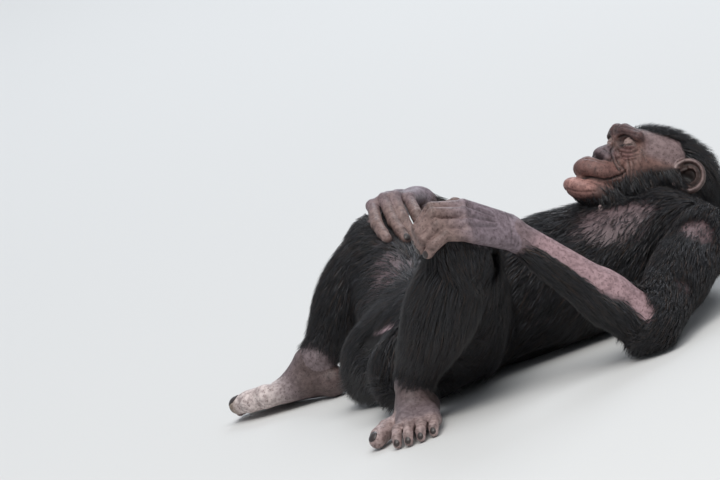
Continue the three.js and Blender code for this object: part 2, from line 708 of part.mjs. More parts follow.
// A lock that would run into another node past its root is left to that node's own locks.
const runsClear = (each) => {
  const { position } = lock(each, 0).attributes;
  const free = [];
  for (let i = LOCK_ROOT_POINTS; i < position.count; i++) {
    free.push(V(0, 0, 0).fromBufferAttribute(position, i));
  }
  const clearOf = (field) => field === each.field || free.every((p) => field(p) > LOCK_CLEAR);
  return nodes.every(({ core }) => clearOf(core.field));
};
for (const node of nodes) node.locks = node.locks.filter(runsClear);
const apart = (a, b) => ["0", "1", "2"].some((i) => a.min[i] > b.max[i] || b.min[i] > a.max[i]);
const group = new THREE.Group();
const done = [];
for (const node of nodes) {
  let body = whole(node, 0).trimByPlane([0, 0, 1], FLOOR);
  for (const other of done) {
    if (!apart(body.boundingBox(), other.boundingBox())) body = body.subtract(other);
  }
  body = largest(body.simplify(SLIVER));
  done.push(whole(node, GAP));
  const { vertProperties, triVerts } = body.getMesh();
  const geometry = new THREE.BufferGeometry()
    .setAttribute("position", new THREE.BufferAttribute(new Float32Array(vertProperties), 3))
    .setIndex(new THREE.BufferAttribute(new Uint32Array(triVerts), 1));
  geometry.computeVertexNormals();
  const material = new THREE.MeshStandardMaterial({ metalness: 0, ...FINISH[node.colour] });
  const mesh = new THREE.Mesh(geometry, material);
  mesh.name = node.name;
  group.add(mesh);
}

export default group;
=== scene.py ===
"""A life-size chimpanzee lying on its back: its skin, eyelids, nails and coat, with floor, light and camera."""

import logging
import math
from dataclasses import dataclass, field, replace
from enum import Enum
from typing import Any, Callable, Sequence

import bpy
import numpy as np
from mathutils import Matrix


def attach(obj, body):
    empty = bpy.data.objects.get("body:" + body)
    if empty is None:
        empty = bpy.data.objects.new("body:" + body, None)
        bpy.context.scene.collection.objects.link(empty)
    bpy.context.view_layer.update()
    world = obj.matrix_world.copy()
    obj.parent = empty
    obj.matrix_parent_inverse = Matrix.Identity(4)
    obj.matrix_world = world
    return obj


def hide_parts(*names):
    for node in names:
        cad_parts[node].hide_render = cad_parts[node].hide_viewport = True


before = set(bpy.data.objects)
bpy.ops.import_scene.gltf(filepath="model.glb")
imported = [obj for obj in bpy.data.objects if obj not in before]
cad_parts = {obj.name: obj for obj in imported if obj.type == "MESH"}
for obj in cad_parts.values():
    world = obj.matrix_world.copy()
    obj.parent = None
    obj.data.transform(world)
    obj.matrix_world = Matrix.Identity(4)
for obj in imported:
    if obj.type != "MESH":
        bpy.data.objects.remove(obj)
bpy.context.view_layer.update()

import openvdb
from mathutils import Matrix
from mathutils.kdtree import KDTree

Array = np.ndarray
Point = Sequence[float]
LOG = logging.getLogger("chimpanzee")
MM = 0.001  # metres in a millimetre; all shapes here are in millimetres until shown() makes an object
FAR = 60.0  # a part is not read at points farther than this from its box
FLOOR_GAP = 0.3  # the skin's least height
SEAM_AXIS = (0.23, 0.41, 0.88)  # where the unwrap of a part starts its turn


def unit(v: Array) -> Array:
    """Vectors at length one, along the last axis."""
    return v / np.maximum(np.linalg.norm(v, axis=-1, keepdims=True), 1e-9)


def between(a: Point, b: Point, share: float) -> Array:
    """The point a share of the way from a to b."""
    return np.asarray(a, float) * (1 - share) + np.asarray(b, float) * share


def ease(x: Array, low: float, high: float) -> Array:
    """A smooth step: 0 at low and below, 1 at high and above."""
    t = np.clip((x - low) / (high - low), 0, 1)
    return t * t * (3 - 2 * t)


def blend(a: Array, b: Array, width: float) -> Array:
    """The nearer of two distances, with a fillet.

    Args:
        a: Distances to one surface.
        b: Distances to the other.
        width: How wide the fillet is, in millimetres.

    Returns:
        Distances to both surfaces joined.
    """
    h = np.maximum(width - np.abs(a - b), 0) / width
    return np.minimum(a, b) - h * h * width / 4


class Field:
    """How far points lie outside a surface, negative inside, in millimetres."""

    def at(self, p: Array) -> Array:
        """Distances at points, one row each."""
        raise NotImplementedError

    def box(self) -> tuple[Array, Array]:
        """Lowest and highest corner of the surface."""
        raise NotImplementedError


@dataclass(eq=False)
class Taper(Field):
    """A straight length with round ends."""

    start: Point
    end: Point
    first: float
    last: float

    def at(self, p: Array) -> Array:
        """Distances at points."""
        a = np.asarray(self.start, p.dtype)
        d = np.asarray(self.end, p.dtype) - a
        q = p - a
        t = np.clip(q @ d / (d @ d), 0, 1)
        return np.linalg.norm(q - t[:, None] * d, axis=1) - self.first - (self.last - self.first) * t

    def box(self) -> tuple[Array, Array]:
        """Corners of the surface."""
        a, b = np.asarray(self.start, float), np.asarray(self.end, float)
        return np.minimum(a - self.first, b - self.last), np.maximum(a + self.first, b + self.last)


@dataclass(eq=False)
class Egg(Field):
    """An egg along the axes of the frame it is used in."""

    centre: Point
    radii: Point

    def at(self, p: Array) -> Array:
        """Distances at points."""
        r = np.asarray(self.radii, p.dtype)
        q = (p - np.asarray(self.centre, p.dtype)) / r
        k = np.linalg.norm(q, axis=1)
        return k * (k - 1) / np.maximum(np.linalg.norm(q / r, axis=1), 1e-6)

    def box(self) -> tuple[Array, Array]:
        """Corners of the surface."""
        c, r = np.asarray(self.centre, float), np.asarray(self.radii, float)
        return c - r, c + r


@dataclass(eq=False)
class Join(Field):
    """Surfaces joined with a fillet of one width."""

    width: float
    members: Sequence[Field]

    def at(self, p: Array) -> Array:
        """Distances at points."""
        d = self.members[0].at(p)
        for member in self.members[1:]:
            d = blend(d, member.at(p), self.width)
        return d

    def box(self) -> tuple[Array, Array]:
        """Corners of the surface."""
        boxes = [member.box() for member in self.members]
        return np.min([b[0] for b in boxes], axis=0), np.max([b[1] for b in boxes], axis=0)


@dataclass(eq=False)
class Hollow(Field):
    """A surface hollowed by another, with a round edge."""

    width: float
    body: Field
    cut: Field

    def at(self, p: Array) -> Array:
        """Distances at points."""
        return -blend(-self.body.at(p), self.cut.at(p), self.width)

    def box(self) -> tuple[Array, Array]:
        """Corners of the surface."""
        return self.body.box()


@dataclass(eq=False)
class Patch(Field):
    """A surface raised a little, as far as another reaches."""

    rise: float
    body: Field
    area: Field

    def at(self, p: Array) -> Array:
        """Distances at points."""
        return np.maximum(self.body.at(p) - self.rise, self.area.at(p))

    def box(self) -> tuple[Array, Array]:
        """Corners of the surface."""
        return self.area.box()


@dataclass(eq=False)
class Place:
    """A frame of its own, such as the head's: an origin, three axes as columns, and a size."""

    origin: Array
    axes: Array
    size: float = 1.0

    def inward(self, p: Array) -> Array:
        """World points in this frame."""
        return (p - self.origin.astype(p.dtype)) @ self.axes.astype(p.dtype) / self.size

    def outward(self, p: Array) -> Array:
        """Points of this frame in the world."""
        return np.asarray(p, float) * self.size @ self.axes.T + self.origin

    def within(self, inner: "Place") -> "Place":
        """A frame given in this one, as a frame in the world."""
        return Place(self.outward(inner.origin), self.axes @ inner.axes, self.size * inner.size)


@dataclass(eq=False)
class Placed(Field):
    """A surface given in a frame of its own."""

    place: Place
    body: Field

    def at(self, p: Array) -> Array:
        """Distances at points."""
        return self.place.size * self.body.at(self.place.inward(p))

    def box(self) -> tuple[Array, Array]:
        """Corners of the surface."""
        low, high = self.body.box()
        corners = self.place.outward(np.array(np.meshgrid(*zip(low, high))).reshape(3, -1).T)
        return corners.min(0), corners.max(0)


def pair(make: Callable[[int], Field]) -> list[Field]:
    """The same surface on the left and on the right."""
    return [make(1), make(-1)]


def slope(at: Callable[[Array], Array], p: Array, step: float = 0.4) -> Array:
    """The way out of a surface at points.

    Args:
        at: The distance field.
        p: Points.
        step: How far apart the distances are read, in millimetres.

    Returns:
        Unit vectors.
    """
    out = np.empty_like(p)
    for axis in range(3):
        shift = np.zeros(3, p.dtype)
        shift[axis] = step
        out[:, axis] = at(p + shift) - at(p - shift)
    return unit(out)


@dataclass(eq=False)
class Part:
    """One named part of the body: its surface, the spine it is wrapped round, and its fillet to its neighbours."""

    name: str
    body: Field
    spine: Array
    fillet: float = 1.0

    def __post_init__(self) -> None:
        """Keeps the part's box for quick reading."""
        self.low, self.high = self.body.box()


@dataclass(eq=False)
class Flesh:
    """Parts read as one surface."""

    parts: Sequence[Part]

    def at(self, p: Array) -> Array:
        """Distances at points; a part is read only near its own box."""
        d = np.full(len(p), FAR, p.dtype)
        for part in self.parts:
            near = np.all((p > part.low - FAR) & (p < part.high + FAR), axis=1)
            if near.any():
                d[near] = blend(d[near], part.body.at(p[near]), part.fillet)
        return d

    def nearest(self, p: Array) -> Array:
        """The number of the nearest part at points."""
        best = np.full(len(p), FAR, p.dtype)
        which = np.zeros(len(p), int)
        for number, part in enumerate(self.parts):
            near = np.where(np.all((p > part.low - FAR) & (p < part.high + FAR), axis=1))[0]
            d = part.body.at(p[near])
            closer = d < best[near]
            best[near[closer]] = d[closer]
            which[near[closer]] = number
        return which

    def box(self) -> tuple[Array, Array]:
        """Corners of all parts."""
        return np.min([p.low for p in self.parts], axis=0), np.max([p.high for p in self.parts], axis=0)


@dataclass
class Surface:
    """Points in millimetres and the faces between them, of four corners; a face of three repeats its last."""

    points: Array
    faces: Array

    def joined(self, other: "Surface") -> "Surface":
        """This surface and another in one list."""
        faces = np.concatenate([self.faces, other.faces + len(self.points)])
        return Surface(np.concatenate([self.points, other.points]), faces)

    def corners(self) -> Array:
        """Which corners of the faces are real, which is all but repeated ones."""
        real = np.ones(self.faces.shape, bool)
        real[:, 3] = self.faces[:, 2] != self.faces[:, 3]
        return real


COARSE = 4  # fine cells along one coarse cell
NEAR = 1.6  # how many coarse cells from the surface the field is read finely
SETTLING = 2  # how many times points are set down on the field


def mesh_of(at: Callable[[Array], Array], low: Array, high: Array, voxel: float) -> Surface:
    """Meshes a distance field, read finely only near its surface.

    Args:
        at: The distance field.
        low: Lowest corner of the box to mesh.
        high: Highest corner.
        voxel: Size of a face, in millimetres.

    Returns:
        The closed surface, its points set on the field.
    """
    count = np.ceil((high - low) / (voxel * COARSE)).astype(int) + 2
    start = (low - voxel * COARSE / 2).astype(np.float32)
    index = np.indices(count).reshape(3, -1).T.astype(np.float32)
    rough = at(start + (index + 0.5) * COARSE * voxel - voxel / 2).reshape(count)
    fine = rough.repeat(COARSE, 0).repeat(COARSE, 1).repeat(COARSE, 2).astype(np.float32)
    close = np.abs(fine) < voxel * COARSE * NEAR
    where = np.argwhere(close).astype(np.float32)
    fine[close] = at(start + where * voxel)
    grid = openvdb.FloatGrid()
    grid.copyFromArray(fine)
    points, faces = grid.convertToQuads(isovalue=0.0)
    points = start + points.astype(np.float32) * voxel
    for _ in range(SETTLING):
        out = slope(at, points, voxel * 0.4)
        points = points - out * np.clip(at(points), -voxel, voxel)[:, None]
    return Surface(points, faces.astype(int))


# The animal's measures, in millimetres: +X to the head, +Y to its own right, +Z up.
SIDES = {"left": 1, "right": -1}
HIP = {"left": (20, -86, 92), "right": (20, 84, 92)}
KNEE = {"left": (5, -328, 258), "right": (58, 342, 204)}
ANKLE = {"left": (-120, -232, 66), "right": (-122, 282, 66)}
SHOULDER = {"left": (442, -150, 110), "right": (445, 155, 108)}
ELBOW = {"left": (256, -358, 45), "right": (318, 402, 45)}
WRIST = {"left": (90, -332, 262), "right": (158, 428, 238)}
FINGERS = {
    "left": [
        [(76, -318, 282), (48, -312, 314), (22, -306, 334), (-2, -304, 334)],
        [(20, -354, 334), (-32, -358, 349), (-62, -352, 325), (-66, -340, 304)],
        [(13, -370, 325), (-37, -376, 343), (-66, -370, 320), (-70, -357, 299)],
        [(7, -384, 309), (-40, -389, 325), (-66, -381, 309), (-71, -367, 294)],
        [(6, -392, 292), (-33, -397, 307), (-57, -396, 298), (-68, -388, 287)],
    ],
    "right": [
        [(160, 405, 222), (158, 372, 214), (148, 342, 206), (140, 322, 198)],
        [(128, 342, 257), (121, 296, 234), (116, 272, 208), (114, 258, 190)],
        [(105, 338, 268), (94, 288, 238), (93, 264, 216), (93, 247, 203)],
        [(87, 338, 271), (76, 282, 239), (75, 255, 225), (74, 234, 213)],
        [(67, 344, 266), (48, 284, 244), (46, 260, 232), (45, 241, 223)],
    ],
}
TOES = {
    "left": [
        [(34, 26, 22), (62, 46, 21), (88, 56, 18), (106, 58, 16)],
        [(86, 17, 23), (116, 19, 26), (137, 19, 18), (147, 19, 9)],
        [(90, -1, 22), (121, -1, 26), (142, -1, 18), (152, -1, 9)],
        [(86, -19, 20), (115, -21, 24), (135, -21, 17), (145, -21, 9)],
        [(78, -36, 17), (103, -40, 21), (121, -40, 15), (130, -40, 8.5)],
    ],
    "right": [
        [(40, 26, 25), (76, 36, 25), (106, 39, 23), (130, 38, 21)],
        [(86, 16, 21), (114, 17, 23), (133, 16, 16), (143, 15, 8)],
        [(90, -2, 20), (119, -3, 23), (138, -4, 16), (148, -5, 8)],
        [(86, -20, 18), (113, -22, 21), (131, -23, 15), (141, -24, 8)],
        [(78, -36, 15), (101, -40, 18), (118, -42, 13), (127, -43, 8)],
    ],
}
FINGER_RADII = (10.2, 10.4, 9.6, 8.4)
THUMB_RADII = (11, 11, 10, 8.5)
TOE_RADII = (8.3, 8.6, 8, 7.2)
BIG_TOE_RADII = {"left": (15, 16, 15, 13), "right": (17, 19.5, 18.5, 15)}
THIGH_RADII = {"left": (76, 64, 49), "right": (70, 54, 47)}
THIGH_UNDER = {"left": (62, 48), "right": (60, 46)}
THIGH_DROP = (-34.0, 0, -26)
UPPER_ARM_RADII = ((50, 44), (43, 40))
FOREARM_RADII = ((39, 37), (37, 24))
SHANK_RADII = ((46, 46), (38, 44), (44, 28))
CALF_BULGE = 8
PALM_RADII = (16, 12)
PALM_GAP = 12
THUMB_ROOT_RADII = (17, 14)
FINGER_NAMES = ("thumb", "index_finger", "middle_finger", "ring_finger", "little_finger")
TOE_NAMES = ("big_toe", "second_toe", "third_toe", "fourth_toe", "fifth_toe")
FOOT_TURN = {"left": -117.3, "right": 135.0}
FOOT_ROLL = {"left": 0.0, "right": 8.0}
FOOT_LIFT = {"left": 0.0, "right": 2.5}
FOOT_FORWARD = {"left": 0.0, "right": 20.0}
HEAD_CENTRE = (451.0, 0, 206)
HEAD_PITCH = 41
HEAD_TURN = 10.2
HEAD_SIZE = 1.058
EAR_CENTRE = (-10.0, 75, 4)
EYE_CENTRE = (72, 27, 23)
LID_RADII = (15.2, 15.8, 13.4)


def head_place() -> Place:
    """The head's frame: forward along the face, left, and up, its origin midway between the ears."""
    pitch, turn = math.radians(HEAD_PITCH), math.radians(HEAD_TURN)
    forward = np.array([-math.cos(turn) * math.cos(pitch), -math.sin(turn) * math.cos(pitch), math.sin(pitch)])
    left = np.array([math.sin(turn), -math.cos(turn), 0.0])
    return Place(np.array(HEAD_CENTRE), np.stack([forward, left, np.cross(forward, left)], axis=1), HEAD_SIZE)


HEAD = head_place()


def ear_place(s: int) -> Place:
    """An ear's frame: backward, up, and out of the head."""
    up = unit(np.array([0.1, 0, 1]))
    backward = np.array([-0.8, s * 0.6, 0])
    backward = unit(backward - up * (backward @ up))
    out = np.cross(backward, up) * s
    x, y, z = EAR_CENTRE
    return HEAD.within(Place(np.array([x, s * y, z]), np.stack([backward, up, out], axis=1)))


def foot_place(side: str) -> Place:
    """A foot's frame: forward from the ankle, towards the big toe, up."""
    way, roll = math.radians(FOOT_TURN[side]), math.radians(FOOT_ROLL[side])
    forward = np.array([math.cos(way), math.sin(way), 0])
    inward = np.cross((0, 0, 1), forward) * (-1 if side == "left" else 1)
    medial = inward * math.cos(roll) + np.array([0, 0, 1]) * math.sin(roll)
    up = np.cross(forward, medial)
    up = up if up[2] > 0 else -up
    origin = np.array([*ANKLE[side][:2], FOOT_LIFT[side]]) + forward * FOOT_FORWARD[side]
    return Place(origin, np.stack([forward, medial, up], axis=1))


def digit(joints: Sequence[Point], radii: Sequence[float]) -> Field:
    """A finger or toe: three lengths with padded joints."""
    return Join(3, [Taper(joints[i], joints[i + 1], radii[i], radii[i + 1]) for i in range(3)])


@dataclass
class Anatomy:
    """Every part of the body as a distance field, from named sizes."""

    trunk_fillet: float = 46.0

    def trunk(self) -> Part:
        """Seat, belly and chest."""
        eggs = [
            Egg((0, 0, 81), (92, 116, 84)),
            *pair(lambda s: Egg((-62, s * 77, 66), (67, 65, 64))),
            Egg((130, 0, 97), (128, 124, 97)),
            Egg((232, 0, 103), (118, 138, 103)),
            Egg((328, 0, 98), (116, 146, 97)),
            Egg((408, 0, 96), (78, 140, 86)),
            *pair(lambda s: Egg((368, s * 66, 150), (62, 62, 36))),
            *pair(lambda s: Taper((428, s * 50, 116), (438, s * 128, 108), 58, 52)),
        ]
        spine = np.array([(-60, 0, 80), (130, 0, 97), (430, 0, 100.0)])
        return Part("trunk", Join(self.trunk_fillet, eggs), spine, 1)

    def neck(self) -> Part:
        """The neck, short and thick."""
        body = Join(30, [Taper((425, 0, 108), (480, 4, 160), 78, 50), Taper((448, 0, 92), (496, 6, 136), 60, 42)])
        return Part("neck", body, np.array([(420, 0, 100), (500, 6, 170.0)]), 24)

    def limbs(self, side: str) -> list[Part]:
        """Upper arm, forearm, thigh and shank of one side."""
        shoulder, elbow, wrist = SHOULDER[side], ELBOW[side], WRIST[side]
        hip, knee, ankle = (np.array(at[side], float) for at in (HIP, KNEE, ANKLE))
        upper = Join(16, [
            Taper(shoulder, between(shoulder, elbow, 0.45), *UPPER_ARM_RADII[0]),
            Taper(between(shoulder, elbow, 0.4), elbow, *UPPER_ARM_RADII[1]),
        ])
        fore = Join(14, [
            Taper(elbow, between(elbow, wrist, 0.35), *FOREARM_RADII[0]),
            Taper(between(elbow, wrist, 0.3), between(elbow, wrist, 0.97), *FOREARM_RADII[1]),
        ])
        under = np.array(THIGH_DROP)
        top, middle, low = THIGH_RADII[side]
        thigh = Join(20, [
            Taper(hip, between(hip, knee, 0.5), top, middle),
            Taper(between(hip, knee, 0.4), knee, middle, low),
            Taper(between(hip, knee, 0.12) + under, between(hip, knee, 0.66) + under, *THIGH_UNDER[side]),
        ])
        calf = between(knee, ankle, 0.36) + CALF_BULGE * unit(hip - knee)
        shank = Join(18, [
            Taper(knee, between(knee, ankle, 0.5), *SHANK_RADII[0]),
            Taper(between(knee, ankle, 0.15), calf, *SHANK_RADII[1]),
            Taper(calf, between(knee, ankle, 0.96), *SHANK_RADII[2]),
        ])
        return [
            Part(f"upper_arm_{side}", upper, np.array([shoulder, elbow], float), 22),
            Part(f"forearm_{side}", fore, np.array([elbow, wrist], float), 16),
            Part(f"thigh_{side}", thigh, np.array([hip, knee]), 28),
            Part(f"shank_{side}", shank, np.array([knee, ankle]), 14),
        ]

    def hand(self, side: str) -> list[Part]:
        """Palm, thumb and four fingers of one side."""
        wrist = np.array(WRIST[side], float)
        knuckles = [np.array(finger[0], float) for finger in FINGERS[side][1:]]
        across = unit(knuckles[3] - knuckles[0])
        roots = [wrist + across * PALM_GAP * (i - 1.5) for i in range(4)]
        bones = [Taper(root, knuckle, *PALM_RADII) for root, knuckle in zip(roots, knuckles)]
        base = np.array(FINGERS[side][0][0], float)
        bones.append(Taper(between(wrist, base, 0.2), base, *THUMB_ROOT_RADII))
        spine = np.array([wrist, between(knuckles[1], knuckles[2], 0.5)])
        parts = [Part(f"palm_{side}", Join(9, bones), spine, 12)]
        for i, joints in enumerate(FINGERS[side]):
            body = digit(joints, FINGER_RADII if i else THUMB_RADII)
            parts.append(Part(f"{FINGER_NAMES[i]}_{side}", body, np.array(joints, float), 3))
        return parts

    def foot(self, side: str) -> list[Part]:
        """Foot and five toes of one side."""
        place = foot_place(side)
        heads = [toe[0] for toe in TOES[side][1:]]
        sole = Join(12, [
            Taper((-34, 0, 25), (-8, 0, 40), 25, 27),
            Taper((0, 0, 62), (22, 0, 40), 28, 26),
            Taper((-30, -6, 22), (70, -29, 17), 21, 13),
            Taper((20, 6, 38), (62, 10, 28), 26, 18),
            *[Taper((38, h[1] * 0.6, 26), h, 15, 11) for h in heads],
            Taper((8, 10, 30), TOES[side][0][0], 22, BIG_TOE_RADII[side][0]),
        ])
        spine = place.outward(np.array([(-30, 0, 30), (80, -6, 22.0)]))
        parts = [Part(f"foot_{side}", Placed(place, sole), spine, 12)]
        for i, joints in enumerate(TOES[side]):
            world = place.outward(np.array(joints, float))
            body = digit(world, TOE_RADII if i else BIG_TOE_RADII[side])
            parts.append(Part(f"{TOE_NAMES[i]}_{side}", body, world, 3 if i else 6))
        return parts

    def head(self) -> list[Part]:
        """The head with its jaws, brow, nose and ears, in the head's frame."""
        cranium = Join(22, [Egg((4, 0, 24), (72, 57, 41)), Egg((-40, 0, 2), (44, 52, 44))])
        brow = Join(8, pair(lambda s: Taper((85, s * 12, 40), (76, s * 42, 36), 13, 9)))
        midface = Join(16, [
            Egg((56, 0, 10), (32, 50, 40)),
            *pair(lambda s: Taper((60, s * 44, -2), (6, s * 56, 0), 13, 12)),
            *pair(lambda s: Egg((46, s * 36, -26), (36, 20, 28))),
            Taper((79, 0, 26), (99, 0, 1), 9, 10),
        ])
        nose = Join(8, [Egg((104, 0, -7), (14, 15, 12)), *pair(lambda s: Egg((99, s * 15, -10), (12, 9.5, 9.5)))])
        upper_jaw = Join(12, [Egg((88, 0, -32), (48, 36, 26)), Egg((104, 0, -38), (35, 34, 15))])
        lower_jaw = Join(12, [
            Egg((110, 0, -67), (38, 32, 18)),
            Egg((78, 0, -64), (46, 35, 19)),
            *pair(lambda s: Taper((86, s * 16, -64), (10, s * 42, -42), 18, 20)),
        ])
        throat = Taper((46, 0, -58), (-20, 0, -44), 24, 46)
        skull: Field = Join(9, [
            Join(14, [cranium, brow, midface]),
            nose,
            Join(5, [upper_jaw, lower_jaw]),
            Join(20, [throat, cranium]),
        ])
        for s in (1, -1):
            skull = Hollow(6, skull, Egg((94, s * 27, 22), (13, 15, 10.5)))
        spine = HEAD.outward(np.array([(-40, 0, 0), (110, 0, -20.0)]))
        parts = [Part("head", Placed(HEAD, skull), spine)]
        for side, s in SIDES.items():
            place = ear_place(s)
            cup = Hollow(3, Egg((0, 0, -6), (28, 28.5, 14)), Egg((1, 1, 6), (23, 23.5, 15)))
            ear = Join(3, [cup, Taper((-21, -2, -2), (-17, -16, 1), 5, 4.5)])
            spine = place.outward(np.array([(0, 0, -16), (0, 0, 8.0)]))
            parts.append(Part(f"ear_{side}", Placed(place, ear), spine, 4))
        return parts


@dataclass
class Cut:
    """A plane across a limb where the finely meshed hand or foot takes over."""

    centre: Array
    way: Array
    radius: float = 60.0
    reach: float = 120.0
    edge: float = 14.0

    def measure(self, p: Array) -> tuple[Array, Array]:
        """How far points lie past the plane, and off the limb's middle."""
        along = (p - self.centre) @ self.way
        return along, np.linalg.norm(p - self.centre - along[:, None] * self.way, axis=1)

    def beyond(self, p: Array, past: float) -> Array:
        """Which points near the limb lie past the plane by more than a distance."""
        along, off = self.measure(p)
        return (along > past) & (along < self.reach) & (off < self.radius)

    def ring(self, surface: Surface, after: int = 0) -> list[int]:
        """The open edge near the plane as a ring of point numbers.

        Args:
            surface: The cut surface.
            after: Only faces from this one on are read.

        Returns:
            Point numbers in order round the limb, turning left about the way out of the limb.
        """
        faces = surface.faces[after:]
        close = np.linalg.norm(surface.points[faces].mean(1) - self.centre, axis=1) < self.radius + 10
        links = [link for face in faces[close].tolist() for link in zip(face, face[1:] + face[:1])]
        edges = dict.fromkeys((a, b) for a, b in links if a != b)
        open_next = {b: a for a, b in edges if (b, a) not in edges}
        along = {k: abs(float((surface.points[k] - self.centre) @ self.way)) for k in open_next}
        near = {k for k in open_next if along[k] < self.edge}
        open_next = {k: v for k, v in open_next.items() if k in near and v in near}
        best: list[int] = []
        seen: set[int] = set()
        for first in open_next:
            ring, at = [], first
            while at in open_next and at not in seen:
                seen.add(at)
                ring.append(at)
                at = open_next[at]
            if at == first and len(ring) > len(best):
                best = ring
        return best

    def bridge(self, surface: Surface, near: list[int], far: list[int]) -> Surface:
        """Closes the band between two rings with faces of three corners.

        Args:
            surface: The surface that holds both rings.
            near: The ring on the limb.
            far: The ring on the hand or foot.

        Returns:
            The surface with the band.
        """
        side = unit(np.cross(self.way, (0.3, 0.5, 0.8)))
        other = np.cross(self.way, side)

        def turns(ring: list[int]) -> tuple[list[int], list[float]]:
            """The ring in the order of its angle about the limb."""
            q = surface.points[ring] - self.centre
            angle = np.arctan2(q @ other, q @ side)
            order = np.argsort(angle)
            return [ring[i] for i in order], [float(angle[i]) for i in order]

        (a, at_a), (b, at_b) = turns(near), turns(far)
        faces, i, j = [], 0, 0
        while i < len(a) or j < len(b):
            next_a = at_a[i + 1] if i + 1 < len(a) else 2 * math.pi + at_a[(i + 1) % len(a)]
            next_b = at_b[j + 1] if j + 1 < len(b) else 2 * math.pi + at_b[(j + 1) % len(b)]
            p, q = a[i % len(a)], b[j % len(b)]
            if j >= len(b) or (i < len(a) and next_a <= next_b):
                faces.append([p, a[(i + 1) % len(a)], q, q])
                i += 1
            else:
                faces.append([p, b[(j + 1) % len(b)], q, q])
                j += 1
        return Surface(surface.points, np.concatenate([surface.faces, np.array(faces)]))


@dataclass(frozen=True)
class Grain:
    """Face sizes of the skin's regions, in millimetres."""

    body: float = 4.6
    hand: float = 1.9
    foot: float = 2.1
    head: float = 1.25


def without(surface: Surface, gone: Array) -> Surface:
    """A surface without the faces that have a corner among the points that are gone."""
    keep = ~gone[surface.faces].any(axis=1)
    faces = surface.faces[keep]
    used = np.unique(faces)
    renumber = np.zeros(len(surface.points), int)
    renumber[used] = np.arange(len(used))
    return Surface(surface.points[used], renumber[faces])


def shown(surface: Surface, name: str, material: bpy.types.Material | None = None) -> bpy.types.Object:
    """A surface as an object, its millimetres turned into metres.

    Args:
        surface: Points and faces.
        name: The object's name.
        material: Its finish.

    Returns:
        The linked object, smoothly shaded.
    """
    mesh = bpy.data.meshes.new(name)
    points, faces = surface.points, surface.faces
    real = surface.corners()
    size = real.sum(axis=1)
    start = np.concatenate([[0], np.cumsum(size)[:-1]])
    corners = faces[real]
    mesh.vertices.add(len(points))
    mesh.vertices.foreach_set("co", (points * MM).astype(np.float32).ravel())
    mesh.loops.add(len(corners))
    mesh.loops.foreach_set("vertex_index", corners.astype(np.int32))
    mesh.polygons.add(len(faces))
    mesh.polygons.foreach_set("loop_start", start.astype(np.int32))
    mesh.polygons.foreach_set("loop_total", size.astype(np.int32))
    mesh.polygons.foreach_set("use_smooth", np.ones(len(faces), bool))
    mesh.update(calc_edges=True)
    made = bpy.data.objects.new(name, mesh)
    bpy.context.scene.collection.objects.link(made)
    if material:
        mesh.materials.append(material)
    return made


CREASE_SHADE = 0.78  # share of the colour that painted shade takes away in a full crease
CREASE_REACH = 2.6  # widths from its line within which a crease is felt
LINE_SETTLING = 4  # how many times a crease's line is set down on its part


@dataclass(frozen=True)
class Crease:
    """A groove along a line on the skin, or a ridge where its depth is below zero; millimetres."""

    line: tuple[Point, ...]
    width: float
    depth: float
    # painted shade along the line, darkening the colour; below zero it lightens the colour instead, a painted highlight
    # along a ridge
    dark: float = 0.6

    def near(self, p: Array) -> Array:
        """How closely points follow the line, from 0 to 1."""
        made = np.zeros(len(p))
        line = np.array(self.line, float)
        reach = CREASE_REACH * self.width
        close = np.where(np.all((p > line.min(0) - reach) & (p < line.max(0) + reach), axis=1))[0]
        best = np.full(len(close), np.inf)
        for a, b in zip(line[:-1], line[1:]):
            best = np.minimum(best, Taper(a, b, 0, 0).at(p[close].astype(float)))
        made[close] = np.exp(-((best / self.width) ** 2))
        return made


def settled(line: Sequence[Point], at: Callable[[Array], Array], step: float = 2.5) -> tuple[Point, ...]:
    """A line divided finely and set down on a surface.

    Args:
        line: Its points.
        at: The surface's distance field.
        step: Longest length between points, in millimetres.

    Returns:
        Points on the surface.
    """
    rows = [np.array(line[:1], float)]
    for a, b in zip(line[:-1], line[1:]):
        count = max(int(np.linalg.norm(np.subtract(b, a)) / step), 1)
        rows.append(np.array([between(a, b, (i + 1) / count) for i in range(count)]))
    points = np.concatenate(rows)
    for _ in range(LINE_SETTLING):
        points = points - slope(at, points) * at(points)[:, None]
    return tuple(map(tuple, points))


def mirrored(creases: list[Crease]) -> list[Crease]:
    """Creases of the left side and their mirror images on the right."""
    return creases + [replace(crease, line=tuple((x, -y, z) for x, y, z in crease.line)) for crease in creases]


def listed(table: Sequence[tuple]) -> list[Crease]:
    """Creases from rows of width, depth, painted shade and the points of the line."""
    return [Crease(tuple(line), width, depth, dark) for width, depth, dark, *line in table]


def arc(middle: Array, back: Array, side: Array, radius: float, swing: float, count: int) -> tuple[Point, ...]:
    """A line bent round a limb.

    Args:
        middle: The arc's centre.
        back: The way to its middle point.
        side: The way across.
        radius: Its radius in millimetres.
        swing: How far it turns to each side, in radians.
        count: How many points it has.

    Returns:
        Its points.
    """
    turns = np.linspace(-swing, swing, count)
    return tuple(tuple(middle + radius * (back * math.cos(t) + side * math.sin(t))) for t in turns)
